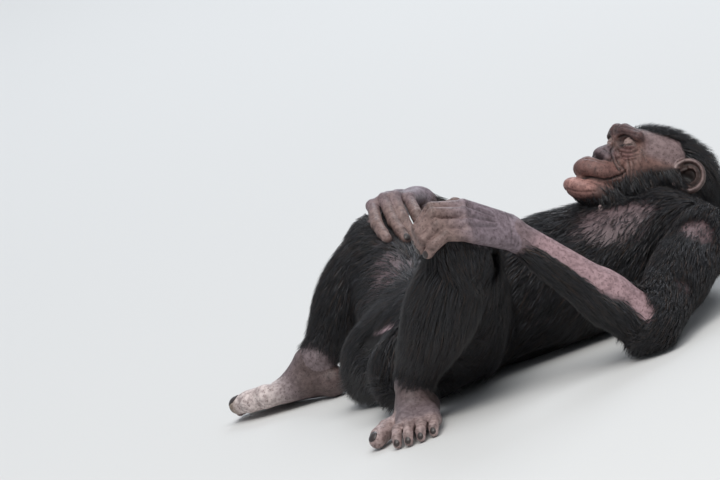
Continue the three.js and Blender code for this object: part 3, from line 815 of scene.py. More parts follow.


# Folds of the face's left side in the head's frame: width, depth, painted shade in the fold, then the line's points.
FACE_FOLDS = (
    # nostril and wing of the nose
    (4.2, 9.0, 1.2, (121, 5, -10), (118, 11, -12), (112, 17, -14)),
    (1.8, 2.0, 0.8, (110, 13, 5), (103, 22, 3), (97, 26, -5), (99, 25, -14), (108, 17, -20), (116, 4, -20)),
    # from the nose to the corner of the mouth
    (2.1, 2.8, 0.95, (96, 10, 17), (98, 15, 8), (96, 20, -3), (94, 23, -10), (88, 31, -17), (84, 35, -22)),
    (1.7, 2.0, 0.8, (86, 22, 4), (88, 24, -4), (85, 30, -12), (81, 39, -19), (78, 45, -25), (73, 48, -35)),
    (1.5, 1.8, 0.8, (88, 34, -21), (84, 38, -25), (82, 41, -29)),
    # down the cheek and behind the mouth
    (1.8, 1.7, 0.65, (79, 38, -3), (77, 44, -10), (75, 48, -18), (71, 50, -29), (70, 50, -42)),
    (1.6, 1.3, 0.5, (76, 45, -2), (72, 51, -10), (69, 53, -20), (66, 53, -32)),
    (1.8, 1.8, 0.7, (82, 42, -32), (79, 45, -40), (80, 43, -50)),
    (1.6, 1.4, 0.5, (77, 46, -30), (75, 48, -42), (76, 46, -54)),
    # below the eye
    (1.6, 1.9, 0.7, (94, 13, 14), (90, 20, 7), (85, 30, 6), (78, 41, 9), (74, 48, 16)),
    (1.7, 1.7, 0.6, (92, 17, 8), (87, 26, 0), (80, 36, 0), (75, 45, 3), (70, 52, 9)),
    (1.6, 1.3, 0.5, (90, 23, 1), (83, 33, -5), (77, 43, -4), (71, 51, 0)),
    # beside the eye
    (1.6, 1.1, 0.4, (68, 50, 14), (62, 54, 9), (58, 57, 2)),
    (1.6, 1.1, 0.4, (70, 53, 4), (66, 55, -4), (60, 57, -10)),
    (1.5, 1.0, 0.4, (73, 52, 20), (66, 53, 18), (60, 55, 14)),
    # above the eye and beside the nose's root
    (1.6, 2.0, 0.8, (92, 13, 27), (88, 24, 33), (82, 37, 32), (76, 46, 26)),
    (1.6, 1.4, 0.7, (97, 5, 24), (97, 8, 16), (101, 9, 8)),
    # brow and forehead
    (1.6, 1.2, 0.5, (98, 3, 36), (94, 5, 46)),
    (1.5, 0.9, 0.4, (98, 9, 33), (94, 20, 36), (88, 34, 37), (80, 46, 36)),
    (2.0, 0.9, 0.3, (96, 16, 44), (90, 32, 46), (80, 48, 44)),
    (2.2, 0.9, 0.3, (84, 10, 53), (78, 26, 53), (70, 42, 50)),
    # lower lip, chin and upper lip
    (1.8, 1.0, 0.35, (132, 8, -58), (124, 20, -58), (108, 29, -56)),
    (2.2, 1.0, 0.3, (136, 3, -70), (128, 16, -71), (110, 29, -68)),
    (2.2, 1.2, 0.4, (120, 3, -83), (112, 16, -82), (98, 28, -77)),
    (2.0, 0.9, 0.3, (128, 6, -27), (121, 16, -25), (110, 26, -24)),
)
# Folds across the root of the nose, and the dip between the brows.
MIDDLE_FOLDS = (
    (6.0, 2.0, 0.15, (95, -11, 21), (95, 0, 21), (95, 11, 21)),
    (1.5, 1.0, 0.5, (101, -7, 15), (103, 0, 15), (101, 7, 15)),
    (1.4, 0.9, 0.45, (101, -7, 10), (103, 0, 10), (101, 7, 10)),
    (3.0, 2.2, 0.4, (97, 0, 32), (97, 0, 52)),
)
# The left half of the line of the mouth.
MOUTH = (
    (138, 0, -51), (134, 10, -51.5), (123, 23, -51), (103, 32, -47), (92, 37, -41), (84, 40, -32), (80, 43, -22),
)
WRIST_FOLDS = (-2.0, 5.0, 11.0, 19.0)
KNUCKLE_FOLDS = (-5.0, -1.0, 3.0)
DIGIT_FOLDS = (-5.0, -1.7, 1.7, 5.0)


@dataclass
class Relief:
    """The fine forms of the head, hands and feet, laid over the plain skin."""

    parts: Sequence[Part]
    lip_depth: float = 1.1
    # painted shade in the lips' wrinkles
    lip_shade: float = 0.55

    def face_creases(self) -> list[Crease]:
        """Mouth line, nostrils, folds of lids, nose, cheeks and brow, in the head's frame."""
        mouth = tuple((x, -y, z) for x, y, z in MOUTH[:0:-1]) + MOUTH
        # each crease darkens the skin along its line: painted shade in the mouth line, the nostrils and the folds
        return [Crease(mouth, 2.0, 4.2, 1.15), *mirrored(listed(FACE_FOLDS)), *listed(MIDDLE_FOLDS)]

    def ear_creases(self) -> list[Crease]:
        """Folds inside an ear, in the ear's frame."""
        def cup(radius: float, first: float, last: float, drop: float = 0.0) -> tuple[Point, ...]:
            """A line round the cup, angles in degrees from the back towards the top."""
            turns = np.radians(np.linspace(first, last, 7))
            return tuple((1 + radius * math.cos(t), 1 + radius * math.sin(t), -6 + drop) for t in turns)

        # ridges, with depth and darkness below zero, are painted lighter, a painted highlight; the folds and the ear's
        # hole are painted darker, painted shade
        return [
            Crease(cup(14.5, 100, -95), 2.5, -4.2, -0.35),
            Crease(((3, 15, -6), (-7, 9, -8), (-15, 3, -5)), 2.0, -2.6, -0.3),
            Crease(cup(20.0, 120, -60), 2.0, 1.6, 0.75),
            Crease(((-17, 8, -3), (-19, -3, 0), (-16, -11, -1)), 3.0, -3.0, -0.3),
            Crease(((-7, -2, -12), (3, -4, -12)), 6.5, 4.0, 1.05),
            Crease(cup(9.0, 60, -60, -3), 2.0, 1.0, 0.6),
        ]

    def lips(self, h: Array) -> Array:
        """Vertical wrinkles of the lips: depth at points of the head's frame."""
        turn = np.arctan2(h[:, 1], h[:, 0] - 62)
        u = h[:, 2]
        sway = 0.9 * np.sin(u * 0.16 + 3 * turn)
        upper = ease(-u, 24, 36) * (1 - ease(-u, 47, 51)) * ease(h[:, 0], 84, 100)
        lower = ease(-u, 53, 57) * (1 - ease(-u, 66, 80)) * ease(h[:, 0], 84, 100)
        wide = np.abs(np.sin(turn * 11 + sway)) ** 0.6
        narrow = np.abs(np.sin(turn * 23 - 1.7 * sway)) ** 0.7
        return (1 - (wide * 0.6 + narrow * 0.4)) * (upper + 0.6 * lower)

    def shape(self, surface: Surface, which: Array, out: Array) -> Array:
        """Moves the skin's points onto the fine forms.

        Args:
            surface: The skin, changed in place.
            which: Each point's part.
            out: The way out of the skin.

        Returns:
            How much painted shade each point's crease lays on its colour, from 0 to 1; below zero, painted highlight on
            a ridge.
        """
        depth, dark = np.zeros(len(surface.points)), np.zeros(len(surface.points))
        numbers = {part.name: i for i, part in enumerate(self.parts)}

        def press(name: str, creases: list[Crease]) -> None:
            """Adds creases, given in the part's own frame, on the part's points."""
            body = self.parts[numbers[name]].body
            chosen = np.where(which == numbers[name])[0]
            local, size = surface.points[chosen].astype(float), 1.0
            if isinstance(body, Placed):
                local, size, body = body.place.inward(local), body.place.size, body.body
            for crease in creases:
                near = replace(crease, line=settled(crease.line, body.at)).near(local)
                depth[chosen] += crease.depth * near * size
                # painted shade along the crease's line, the strongest kept; a crease whose darkness is below zero adds
                # painted highlight instead
                shade = near * crease.dark
                dark[chosen] = np.maximum(dark[chosen], shade) if crease.dark > 0 else dark[chosen] + shade

        press("head", self.face_creases())
        head = np.where(which == numbers["head"])[0]
        h = HEAD.inward(surface.points[head].astype(float))
        lips = self.lips(h)
        depth[head] += lips * self.lip_depth
        # the lips' wrinkles painted darker: painted shade
        dark[head] = np.maximum(dark[head], lips * self.lip_shade)
        for side in SIDES:
            press(f"ear_{side}", self.ear_creases())
            press(f"palm_{side}", self.palm_creases(side))
        for part in self.parts:
            if part.name.startswith(FINGER_NAMES + TOE_NAMES):
                press(part.name, self.joint_creases(part))
        surface.points -= (out * depth[:, None]).astype(surface.points.dtype)
        surface.points[:, 2] = np.maximum(surface.points[:, 2], FLOOR_GAP)
        return np.clip(dark, -0.4, 1.2)

    def palm_creases(self, side: str) -> list[Crease]:
        """Folds across the wrist and over the knuckles, and sinews on the back of a hand."""
        wrist = np.array(WRIST[side], float)
        knuckles = [np.array(finger[0], float) for finger in FINGERS[side][1:]]
        middle = between(knuckles[1], knuckles[2], 0.5)
        way, across = unit(middle - wrist), unit(knuckles[3] - knuckles[0])
        back = np.cross(way, across)
        back = back if back[2] > 0 else -back
        # folds across the wrist and over the knuckles, each painted darker along its line: painted shade
        made = [Crease(arc(wrist + way * shift, back, across, 24, 1.5, 7), 1.6, 1.0, 0.55) for shift in WRIST_FOLDS]
        for knuckle in knuckles:
            for shift in KNUCKLE_FOLDS:
                made.append(Crease(arc(knuckle + way * shift, back, across, 13, 0.6, 4), 1.4, 0.9, 0.5))
            sinew = [tuple(between(wrist, knuckle, share) + back * 16) for share in (0.45, 0.65, 0.85)]
            # a raised sinew painted a little lighter: painted highlight
            made.append(Crease(tuple(sinew), 2.6, -1.4, -0.12))
        for a, b in zip(knuckles[:-1], knuckles[1:]):
            dip = [tuple(between(wrist, between(a, b, 0.5), share) + back * 15) for share in (0.5, 0.75, 1.0)]
            # a dip between knuckles painted darker: painted shade
            made.append(Crease(tuple(dip), 3.2, 1.6, 0.5))
        return made

    def joint_creases(self, part: Part) -> list[Crease]:
        """Skin folds over the joints of a finger or toe."""
        made = []
        joints = part.spine
        for i in (1, 2):
            way = unit(joints[i + 1] - joints[i - 1])
            back = unit(joints[i] - (joints[i + 1] + joints[i - 1]) / 2)
            side = np.cross(way, back)
            for shift in DIGIT_FOLDS:
                # each joint fold painted darker along its line: painted shade
                made.append(Crease(arc(joints[i] + way * shift, back, side, 10.5, 1.1, 5), 1.3, 0.8, 0.45))
        return made


@dataclass
class Lids:
    """The closed eyes: domed lids, each with its slit and lashes."""

    grain: float = 0.8
    count: int = 34
    seed: int = 31

    def build(self, skin_paint: bpy.types.Material, hair: bpy.types.Material) -> None:
        """Makes both lids and their lashes.

        Args:
            skin_paint: The lids' finish.
            hair: The lashes' finish.
        """
        for side, s in SIDES.items():
            x, y, z = EYE_CENTRE
            dome = Placed(HEAD, Egg((x, s * y, z), LID_RADII))
            low, high = dome.box()
            surface = mesh_of(dome.at, low - 2, high + 2, self.grain)
            h = HEAD.inward(surface.points.astype(float))
            slit = ((83, s * 13, 19.5), (87.5, s * 22, 17), (88, s * 31, 17), (81, s * 41, 20.5))
            folds = [Crease(slit, 1.7, 2.4, 1.05)]
            for rise, depth in ((5.5, 0.6), (8.5, 0.7), (11.5, 0.9)):
                line = tuple((x - 0.25 * rise, y, z + rise - 0.012 * (y - s * EYE_CENTRE[1]) ** 2) for x, y, z in slit)
                folds.append(Crease(line, 1.1, depth, 0.35))
            folds.append(Crease(tuple((x + 0.6, y, z - 3.2) for x, y, z in slit), 1.0, 0.5, 0.3))
            depth, dark = np.zeros(len(h)), np.zeros(len(h))
            for fold in folds:
                near = fold.near(h)
                depth += fold.depth * near
                dark = np.maximum(dark, near * fold.dark)
            surface.points -= (slope(dome.at, surface.points) * depth[:, None]).astype(np.float32)
            made = shown(surface, f"eyelid_{side}", skin_paint)
            fall = np.interp(s * h[:, 1], *zip(*[(s * y, z) for _, y, z in slit])) - h[:, 2]
            lower = ease(fall, 0.0, 2.5)[:, None]
            tint = Hide.LID.light * (1 - lower) + Hide.POUCH.light * lower
            # the lid's ends blend halfway into the socket's dark colour: painted shade in the corners of the eye
            edge = ease(np.abs(h[:, 1] - s * EYE_CENTRE[1]), 8, 14)[:, None]
            tint = tint * (1 - 0.5 * edge) + Hide.SOCKET.light * 0.5 * edge
            # the lid's colour darkened along its slit and folds: painted shade
            set_tint(made, tint * (1 - 0.93 * dark[:, None]))
            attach(made, "root")
            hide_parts(f"closed_eye_{side}")
            self.lashes(side, slit, hair)

    def lashes(self, side: str, slit: tuple[Point, ...], hair: bpy.types.Material) -> None:
        """Makes one eye's lashes along its slit."""
        rng = np.random.default_rng(self.seed)
        count, line = self.count, np.array(slit, float)
        share = np.sort(rng.uniform(0.05, 0.95, count)) * (len(line) - 1)
        roots = np.stack([np.interp(share, range(len(line)), line[:, k]) for k in range(3)], axis=1)
        fan = 0.5 * (roots[:, 1] - line[:, 1].mean()) / 14
        way = unit(np.stack([np.full(count, 0.8), fan, rng.uniform(-1.1, -0.7, count)], axis=1))
        long = rng.uniform(4.5, 7.5, (count, 1))
        curl = np.array([0.0, 0, 0.9])
        path = np.stack([roots + way * (k * long - 1.0) + curl * k * k for k in (0, 0.5, 1.0)], axis=1)
        world = HEAD.outward(path.reshape(-1, 3)).reshape(path.shape)
        surface = spikes(world, np.tile(HEAD.axes[:, 0], (count, 3, 1)), np.full((count, 2), 0.55), 0.4)
        made = shown(surface, f"lashes_{side}", hair)
        set_tint(made, np.tile(Hide.HAIR.light, (len(surface.points), 1)))
        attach(made, "root")


@dataclass
class Nails:
    """Flat dark nails on fingers and toes."""

    parts: Sequence[Part]
    grain: float = 0.9

    def build(self, material: bpy.types.Material) -> None:
        """Makes the nails of hands and feet as one piece each."""
        for name, words in {"nails_hands": FINGER_NAMES, "nails_feet": TOE_NAMES}.items():
            whole = Surface(np.zeros((0, 3), np.float32), np.zeros((0, 4), int))
            for part in self.parts:
                if part.name.startswith(words):
                    whole = whole.joined(self.nail(part))
            made = shown(whole, name, material)
            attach(made, "root")

    def nail(self, part: Part) -> Surface:
        """One nail: the digit's own surface, raised a little, over the back of its tip."""
        joints = part.spine
        way = unit(joints[3] - joints[2])
        back = joints[2] - (joints[3] + joints[1]) / 2
        if part.name.startswith("big_toe"):
            feet = foot_place(part.name.split("_")[-1]).axes
            back = feet[:, 2] + 0.4 * feet[:, 1]
        back = unit(back - way * (back @ way))
        radius = -float(part.body.at(joints[3][None])[0])
        tilt = unit(way - back * 0.35)
        axes = np.stack([tilt, np.cross(back, tilt), unit(back + way * 0.35)], axis=1)
        centre = joints[3] + unit(way * 0.35 + back) * radius
        plate = Patch(0.7, part.body, Placed(Place(centre, axes, radius / 8), Egg((0, 0, 0), (7.4, 5.6, 5.0))))
        low, high = plate.box()
        return mesh_of(plate.at, low - 1, high + 1, self.grain)


@dataclass
class Nipples:
    """Small pale nipples on the thinly haired breast."""

    grain: float = 0.9
    place: Point = (325, 53, 199)

    def build(self, material: bpy.types.Material, flesh: Flesh) -> None:
        """Makes both, set on the skin."""
        for side, s in SIDES.items():
            x, y, z = self.place
            root = np.array(settled([(x, -s * y, z)], flesh.at)[0])
            out = slope(flesh.at, root[None], 2.0)[0]
            across = unit(np.cross(out, (0, 1, 0)))
            axes = np.stack([across, np.cross(out, across), out], axis=1)
            bud = Placed(Place(root, axes), Join(3, [Egg((0, 0, -1), (8, 8, 3)), Egg((0, 0, 2.5), (3.6, 3.6, 4))]))
            low, high = bud.box()
            surface = mesh_of(bud.at, low - 2, high + 2, self.grain)
            made = shown(surface, f"nipple_{side}", material)
            set_tint(made, np.tile(Hide.NIPPLE.light, (len(surface.points), 1)))
            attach(made, "root")


def spikes(path: Array, normals: Array, width: Array, flat: float) -> Surface:
    """Closed, three-sided, tapered solids along lines.

    Args:
        path: Points of each line from root to tip.
        normals: The way out of the skin at them.
        width: Widths at all points but the tip.
        flat: Thickness as a share of the width.

    Returns:
        All spikes as one surface.
    """
    count, rows = path.shape[:2]
    rings = rows - 1
    along = unit(np.gradient(path, axis=1))
    across = unit(np.cross(along, normals))
    up = np.cross(across, along)
    side = across[:, :rings] * width[..., None] / 2
    ridge = up[:, :rings] * width[..., None] * flat
    ring = np.stack([path[:, :rings] + side, path[:, :rings] + ridge, path[:, :rings] - side], axis=2)
    points = np.concatenate([ring.reshape(count, rings * 3, 3), path[:, -1:]], axis=1)
    faces = [[0, 2, 1, 1]]
    for r in range(rings - 1):
        for k in range(3):
            a, b = r * 3 + k, r * 3 + (k + 1) % 3
            faces.append([a, b, b + 3, a + 3])
    tip = rings * 3
    for k in range(3):
        faces.append([tip - 3 + k, tip - 3 + (k + 1) % 3, tip, tip])
    each = points.shape[1]
    index = (np.arange(count)[:, None, None] * each + np.array(faces)[None]).reshape(-1, 4)
    return Surface(points.reshape(-1, 3), index)


@dataclass
class Skin:
    """The animal's one skin, from seat to fingertips."""

    anatomy: Anatomy = field(default_factory=Anatomy)
    grain: Grain = field(default_factory=Grain)
    band: float = 2.5
    limb: float = 45.0

    def __post_init__(self) -> None:
        """Lists the parts by region."""
        self.torso = [self.anatomy.trunk(), self.anatomy.neck()]
        self.limbs = {side: self.anatomy.limbs(side) for side in SIDES}
        self.hands = {side: self.anatomy.hand(side) for side in SIDES}
        self.feet = {side: self.anatomy.foot(side) for side in SIDES}
        self.head = self.anatomy.head()
        self.parts = [*self.torso]
        for side in SIDES:
            self.parts += [*self.limbs[side], *self.hands[side], *self.feet[side]]
        self.parts += self.head
        self.flesh = Flesh(self.parts)

    def ends(self) -> list[tuple[Cut, list[Part], float]]:
        """Each hand and foot with the plane across its limb and its face size."""
        found = []
        for side in SIDES:
            _, fore, _, shank = self.limbs[side]
            hand, foot = (fore, self.hands[side], self.grain.hand, 0.8), (shank, self.feet[side], self.grain.foot, 0.78)
            for limb, tip, grain, share in (hand, foot):
                a, b = limb.spine
                found.append((Cut(between(a, b, share), unit(b - a)), [limb, *tip], grain))
        return found

    def build(self) -> Surface:
        """Meshes the body, its hands and feet in finer faces, and the head.

        Returns:
            The whole skin in millimetres, on the floor.
        """
        body = Flesh([*self.torso, *self.limbs["left"], *self.limbs["right"]])
        low, high = body.box()
        whole = mesh_of(body.at, low, high, self.grain.body)
        for cut, tips, grain in self.ends():
            whole = without(whole, cut.beyond(whole.points, -self.band))
            flesh = Flesh(tips)
            low, high = Flesh(tips[1:]).box()
            low, high = np.minimum(low, cut.centre - self.limb), np.maximum(high, cut.centre + self.limb)
            tip = mesh_of(flesh.at, low, high, grain)
            tip = without(tip, cut.measure(tip.points)[0] < self.band)
            start = len(whole.faces)
            near = cut.ring(whole)
            whole = whole.joined(tip)
            far = cut.ring(whole, start)
            LOG.info("rings of %d and %d points", len(near), len(far))
            whole = cut.bridge(whole, near, far)
        head = Flesh(self.head)
        low, high = head.box()
        whole = whole.joined(mesh_of(head.at, low - 4, high + 4, self.grain.head))
        whole.points[:, 2] = np.maximum(whole.points[:, 2], FLOOR_GAP)
        return whole


class Atlas:
    """A flat unwrap of the skin's own shape: each part unrolled round its spine into a rectangle of its own."""

    margin = 0.07

    def __init__(self, parts: Sequence[Part]) -> None:
        """Lays the parts' rectangles out in shelves.

        Args:
            parts: The parts of the skin.
        """
        self.parts = parts
        sizes = []
        for part in parts:
            extent = np.sort(part.high - part.low)
            long = np.linalg.norm(np.diff(part.spine, axis=0), axis=1).sum() + extent[0]
            sizes.append((long, 2.6 * extent[:2].mean()))
        order = sorted(range(len(parts)), key=lambda i: -sizes[i][1])
        scale = 1 / max(max(w for w, _ in sizes), 1.0)
        while not self._pack(sizes, order, scale):
            scale *= 0.97

    def _pack(self, sizes: list[tuple[float, float]], order: list[int], scale: float) -> bool:
        """Places the rectangles at a scale and says whether they fit."""
        self.rects: dict[int, tuple[float, float, float, float]] = {}
        x = y = shelf = 0.0
        for i in order:
            w, h = sizes[i][0] * scale, sizes[i][1] * scale
            if x + w > 1:
                x, y, shelf = 0.0, y + shelf, 0.0
            self.rects[i] = (x, y, w, h)
            x, shelf = x + w, max(shelf, h)
        return y + shelf <= 1

    def unroll(self, points: Array, which: Array) -> Array:
        """How far along its part's spine each point lies, and its angle round it.

        Args:
            points: Points in millimetres.
            which: Each point's part.

        Returns:
            A share of the length, and an angle in turns, one row each.
        """
        made = np.zeros((len(points), 2))
        for number in np.unique(which):
            chosen = which == number
            p, spine = points[chosen].astype(float), self.parts[number].spine
            extent = np.sort(self.parts[number].high - self.parts[number].low)[0] / 2
            best = np.full(len(p), np.inf)
            along, turn = np.zeros(len(p)), np.zeros(len(p))
            start = extent
            for a, b in zip(spine[:-1], spine[1:]):
                way, long = unit(b - a), float(np.linalg.norm(b - a))
                side = unit(np.cross(way, SEAM_AXIS))
                q = p - a
                s = q @ way
                low = -extent if start == extent else 0
                high = long + extent if b is spine[-1] else long
                off = np.linalg.norm(q - np.clip(s, low, high)[:, None] * way, axis=1)
                closer = off < best
                best[closer] = off[closer]
                along[closer] = (start + np.clip(s, low, high))[closer]
                turn[closer] = (np.arctan2(q @ np.cross(way, side), q @ side) / (2 * math.pi))[closer]
                start += long
            made[chosen] = np.stack([along / (start + extent), turn], axis=1)
        return made

    def place(self, rolled: Array, which: Array) -> Array:
        """Unrolled points as places on the whole unwrap, in 0 to 1."""
        rects = np.array([self.rects[i] for i in range(len(self.parts))])[which]
        share = np.stack([rolled[:, 0], rolled[:, 1] + 0.5], axis=1)
        share = self.margin + (1 - 2 * self.margin) * np.clip(share, -0.05, 1.05)
        return rects[:, :2] + share * rects[:, 2:]

    def of_faces(self, surface: Surface, which: Array) -> Array:
        """A place for each corner of each face, with no face torn across its part's seam.

        Args:
            surface: The skin.
            which: Each face's part.

        Returns:
            Places, one row for each face and corner.
        """
        faces = surface.faces
        middle = self.unroll(surface.points[faces].mean(1), which)
        each = np.repeat(which, faces.shape[1])
        rolled = self.unroll(surface.points[faces.ravel()], each)
        turned = rolled[:, 1] - np.repeat(middle[:, 1], faces.shape[1])
        rolled[:, 1] = np.repeat(middle[:, 1], faces.shape[1]) + turned - np.round(turned)
        return self.place(rolled, each).reshape(len(faces), faces.shape[1], 2)


def set_unwrap(made: bpy.types.Object, places: Array, surface: Surface) -> None:
    """Writes the unwrap of an object made by shown().

    Args:
        made: The object.
        places: Places by face and corner.
        surface: The surface it was made from.
    """
    layer = made.data.uv_layers.new(name="OFBake")
    layer.data.foreach_set("uv", places[surface.corners()].astype(np.float32).ravel())


def set_tint(made: bpy.types.Object, values: Array) -> None:
    """Writes a colour for each point of an object."""
    colours = np.ones((len(values), 4), np.float32)
    colours[:, :3] = values
    made.data.attributes.new("tint", "FLOAT_COLOR", "POINT").data.foreach_set("color", colours.ravel())


class Wire:
    """A shader value that can be used in expressions."""

    def __init__(self, paint: "Paint", socket: bpy.types.NodeSocket) -> None:
        """Keeps the socket and the material it belongs to."""
        self.paint, self.socket = paint, socket

    def _join(self, operation: str, first: Any, second: Any) -> "Wire":
        """A Math node on two values."""
        return self.paint.node("ShaderNodeMath", {"operation": operation}, {0: first, 1: second})["Value"]

    def __add__(self, other: Any) -> "Wire":
        """Sum."""
        return self._join("ADD", self, other)

    __radd__ = __add__

    def __mul__(self, other: Any) -> "Wire":
        """Product."""
        return self._join("MULTIPLY", self, other)


class Paint:
    """One material, built from expressions on its nodes."""

    def __init__(self, name: str) -> None:
        """Makes an empty material with its Principled shader."""
        self.material = bpy.data.materials.new(name)
        self.material.use_nodes = True
        self.tree = self.material.node_tree
        self.shader = self.tree.nodes["Principled BSDF"]

    def node(self, kind: str, settings: dict[str, Any], sockets: dict[Any, Any]) -> dict[str, Wire]:
        """Adds a node.

        Args:
            kind: The node's type.
            settings: Its own choices.
            sockets: Values or wires for its inputs, by name or number.

        Returns:
            Its outputs by name.
        """
        made = self.tree.nodes.new(kind)
        for key, value in settings.items():
            setattr(made, key, value)
        for key, value in sockets.items():
            self.put(made.inputs[key], value)
        return {out.name: Wire(self, out) for out in made.outputs if out.enabled}

    def put(self, socket: bpy.types.NodeSocket, value: Any) -> None:
        """Links a wire to a socket, or sets a plain value on it."""
        if isinstance(value, Wire):
            self.tree.links.new(value.socket, socket)
        else:
            socket.default_value = value

    def set(self, **sockets: Any) -> None:
        """Sets the Principled shader's sockets, underscores standing for spaces."""
        for key, value in sockets.items():
            self.put(self.shader.inputs[key.replace("_", " ")], value)

    def place(self) -> Wire:
        """The point being shaded, in the object's own frame, in metres."""
        return self.node("ShaderNodeTexCoord", {}, {})["Object"]

    def tint(self) -> Wire:
        """The colour written on the mesh by set_tint()."""
        return self.node("ShaderNodeAttribute", {"attribute_name": "tint"}, {})["Color"]

    def noise(self, scale: float, detail: float = 3, rough: float = 0.55) -> Wire:
        """Cloudy noise at so many cells a metre."""
        sockets = {"Vector": self.place(), "Scale": scale, "Detail": detail, "Roughness": rough}
        return self.node("ShaderNodeTexNoise", {}, sockets)["Fac"]

    def cells(self, scale: float) -> Wire:
        """Distance to the edge in a pattern of so many cells a metre."""
        sockets = {"Vector": self.place(), "Scale": scale}
        return self.node("ShaderNodeTexVoronoi", {"feature": "DISTANCE_TO_EDGE"}, sockets)["Distance"]

    def band(self, value: Wire, low: float, high: float) -> Wire:
        """0 below low, 1 above high."""
        sockets = {"Value": value, "From Min": low, "From Max": high}
        return self.node("ShaderNodeMapRange", {"clamp": True}, sockets)["Result"]

    def mix(self, mask: Any, first: Any, second: Any, how: str = "MIX") -> Wire:
        """Colours mixed by a mask."""
        made = self.tree.nodes.new("ShaderNodeMix")
        made.data_type, made.blend_type = "RGBA", how
        for key, kind, value in (("Factor", "VALUE", mask), ("A", "RGBA", first), ("B", "RGBA", second)):
            self.put(next(i for i in made.inputs if i.name == key and i.type == kind), value)
        return Wire(self, next(o for o in made.outputs if o.type == "RGBA"))

    def bump(self, height: Wire, depth: float, strength: float) -> Wire:
        """A normal bumped by a height pattern, so many metres deep."""
        return self.node("ShaderNodeBump", {}, {"Height": height, "Distance": depth, "Strength": strength})["Normal"]


def tone(code: str) -> Array:
    """A colour code of six digits as linear light."""
    values = np.array([int(code[i : i + 2], 16) / 255 for i in (0, 2, 4)])
    return np.where(values <= 0.04045, values / 12.92, ((values + 0.055) / 1.055) ** 2.4)


class Hide(Enum):
    """Colours of skin and hair, among them a few painted shades and highlights: shade on the forearm's lower side, in
    the eye socket and in the ear's cup, a highlight on the ear's rim, and grey-blue sheen on the hair.
    """

    UNDERFUR = "1b1817"
    CHEST = "6a595b"
    THIGH = "6e5d60"
    GROIN = "e3c6cd"
    SHOULDER = "6d5a5c"
    # the bare forearm's skin where it faces up: partly its own colour, partly painted light
    FOREARM = "a4888b"
    WRIST = "7c6a6d"
    # the bare forearm's skin towards its lower, down-facing edge: painted shade
    FOREARM_LOW = "574a4d"
    HAND = "83747b"
    FINGER = "856f69"
    NAIL = "3b3230"
    FOOT = "7c6e70"
    TOE = "a8938f"
    BIG_TOE = "d8cac6"
    TIP = "877869"
    ANKLE = "4b3932"
    TEMPLE = "84706f"
    CHEEK = "765850"
    BROW = "5b4341"
    NOSE = "665558"
    UPPER_LIP = "7a5851"
    LOWER_LIP = "b2867d"
    CHIN = "7d605a"
    LID = "a28b84"
    # painted shade in the hollow round the eye
    SOCKET = "4a3430"
    POUCH = "8d6a66"
    NIPPLE = "a08d8a"
    EAR = "57443f"
    # painted highlight along the ear's rim
    EAR_RIM = "a08c89"
    # painted shade deep in the ear's cup
    EAR_CUP = "2a1c18"
    HAIR = "1c1c20"
    HAIR_BROWN = "33261f"
    # grey-blue tufts that stand in for the hair's sheen: painted highlight
    HAIR_GREY = "5b5a60"

    @property
    def light(self) -> Array:
        """The colour as linear light."""
        return tone(self.value)


def around(p: Array, centre: Point, radii: Point) -> Array:
    """How far points lie from a centre, in radii."""
    return np.linalg.norm((p - np.array(centre)) / np.array(radii), axis=1)


def off_joint(p: Array, joint: Point) -> Array:
    """How far points lie from a joint."""
    return np.linalg.norm(p - np.array(joint), axis=1)


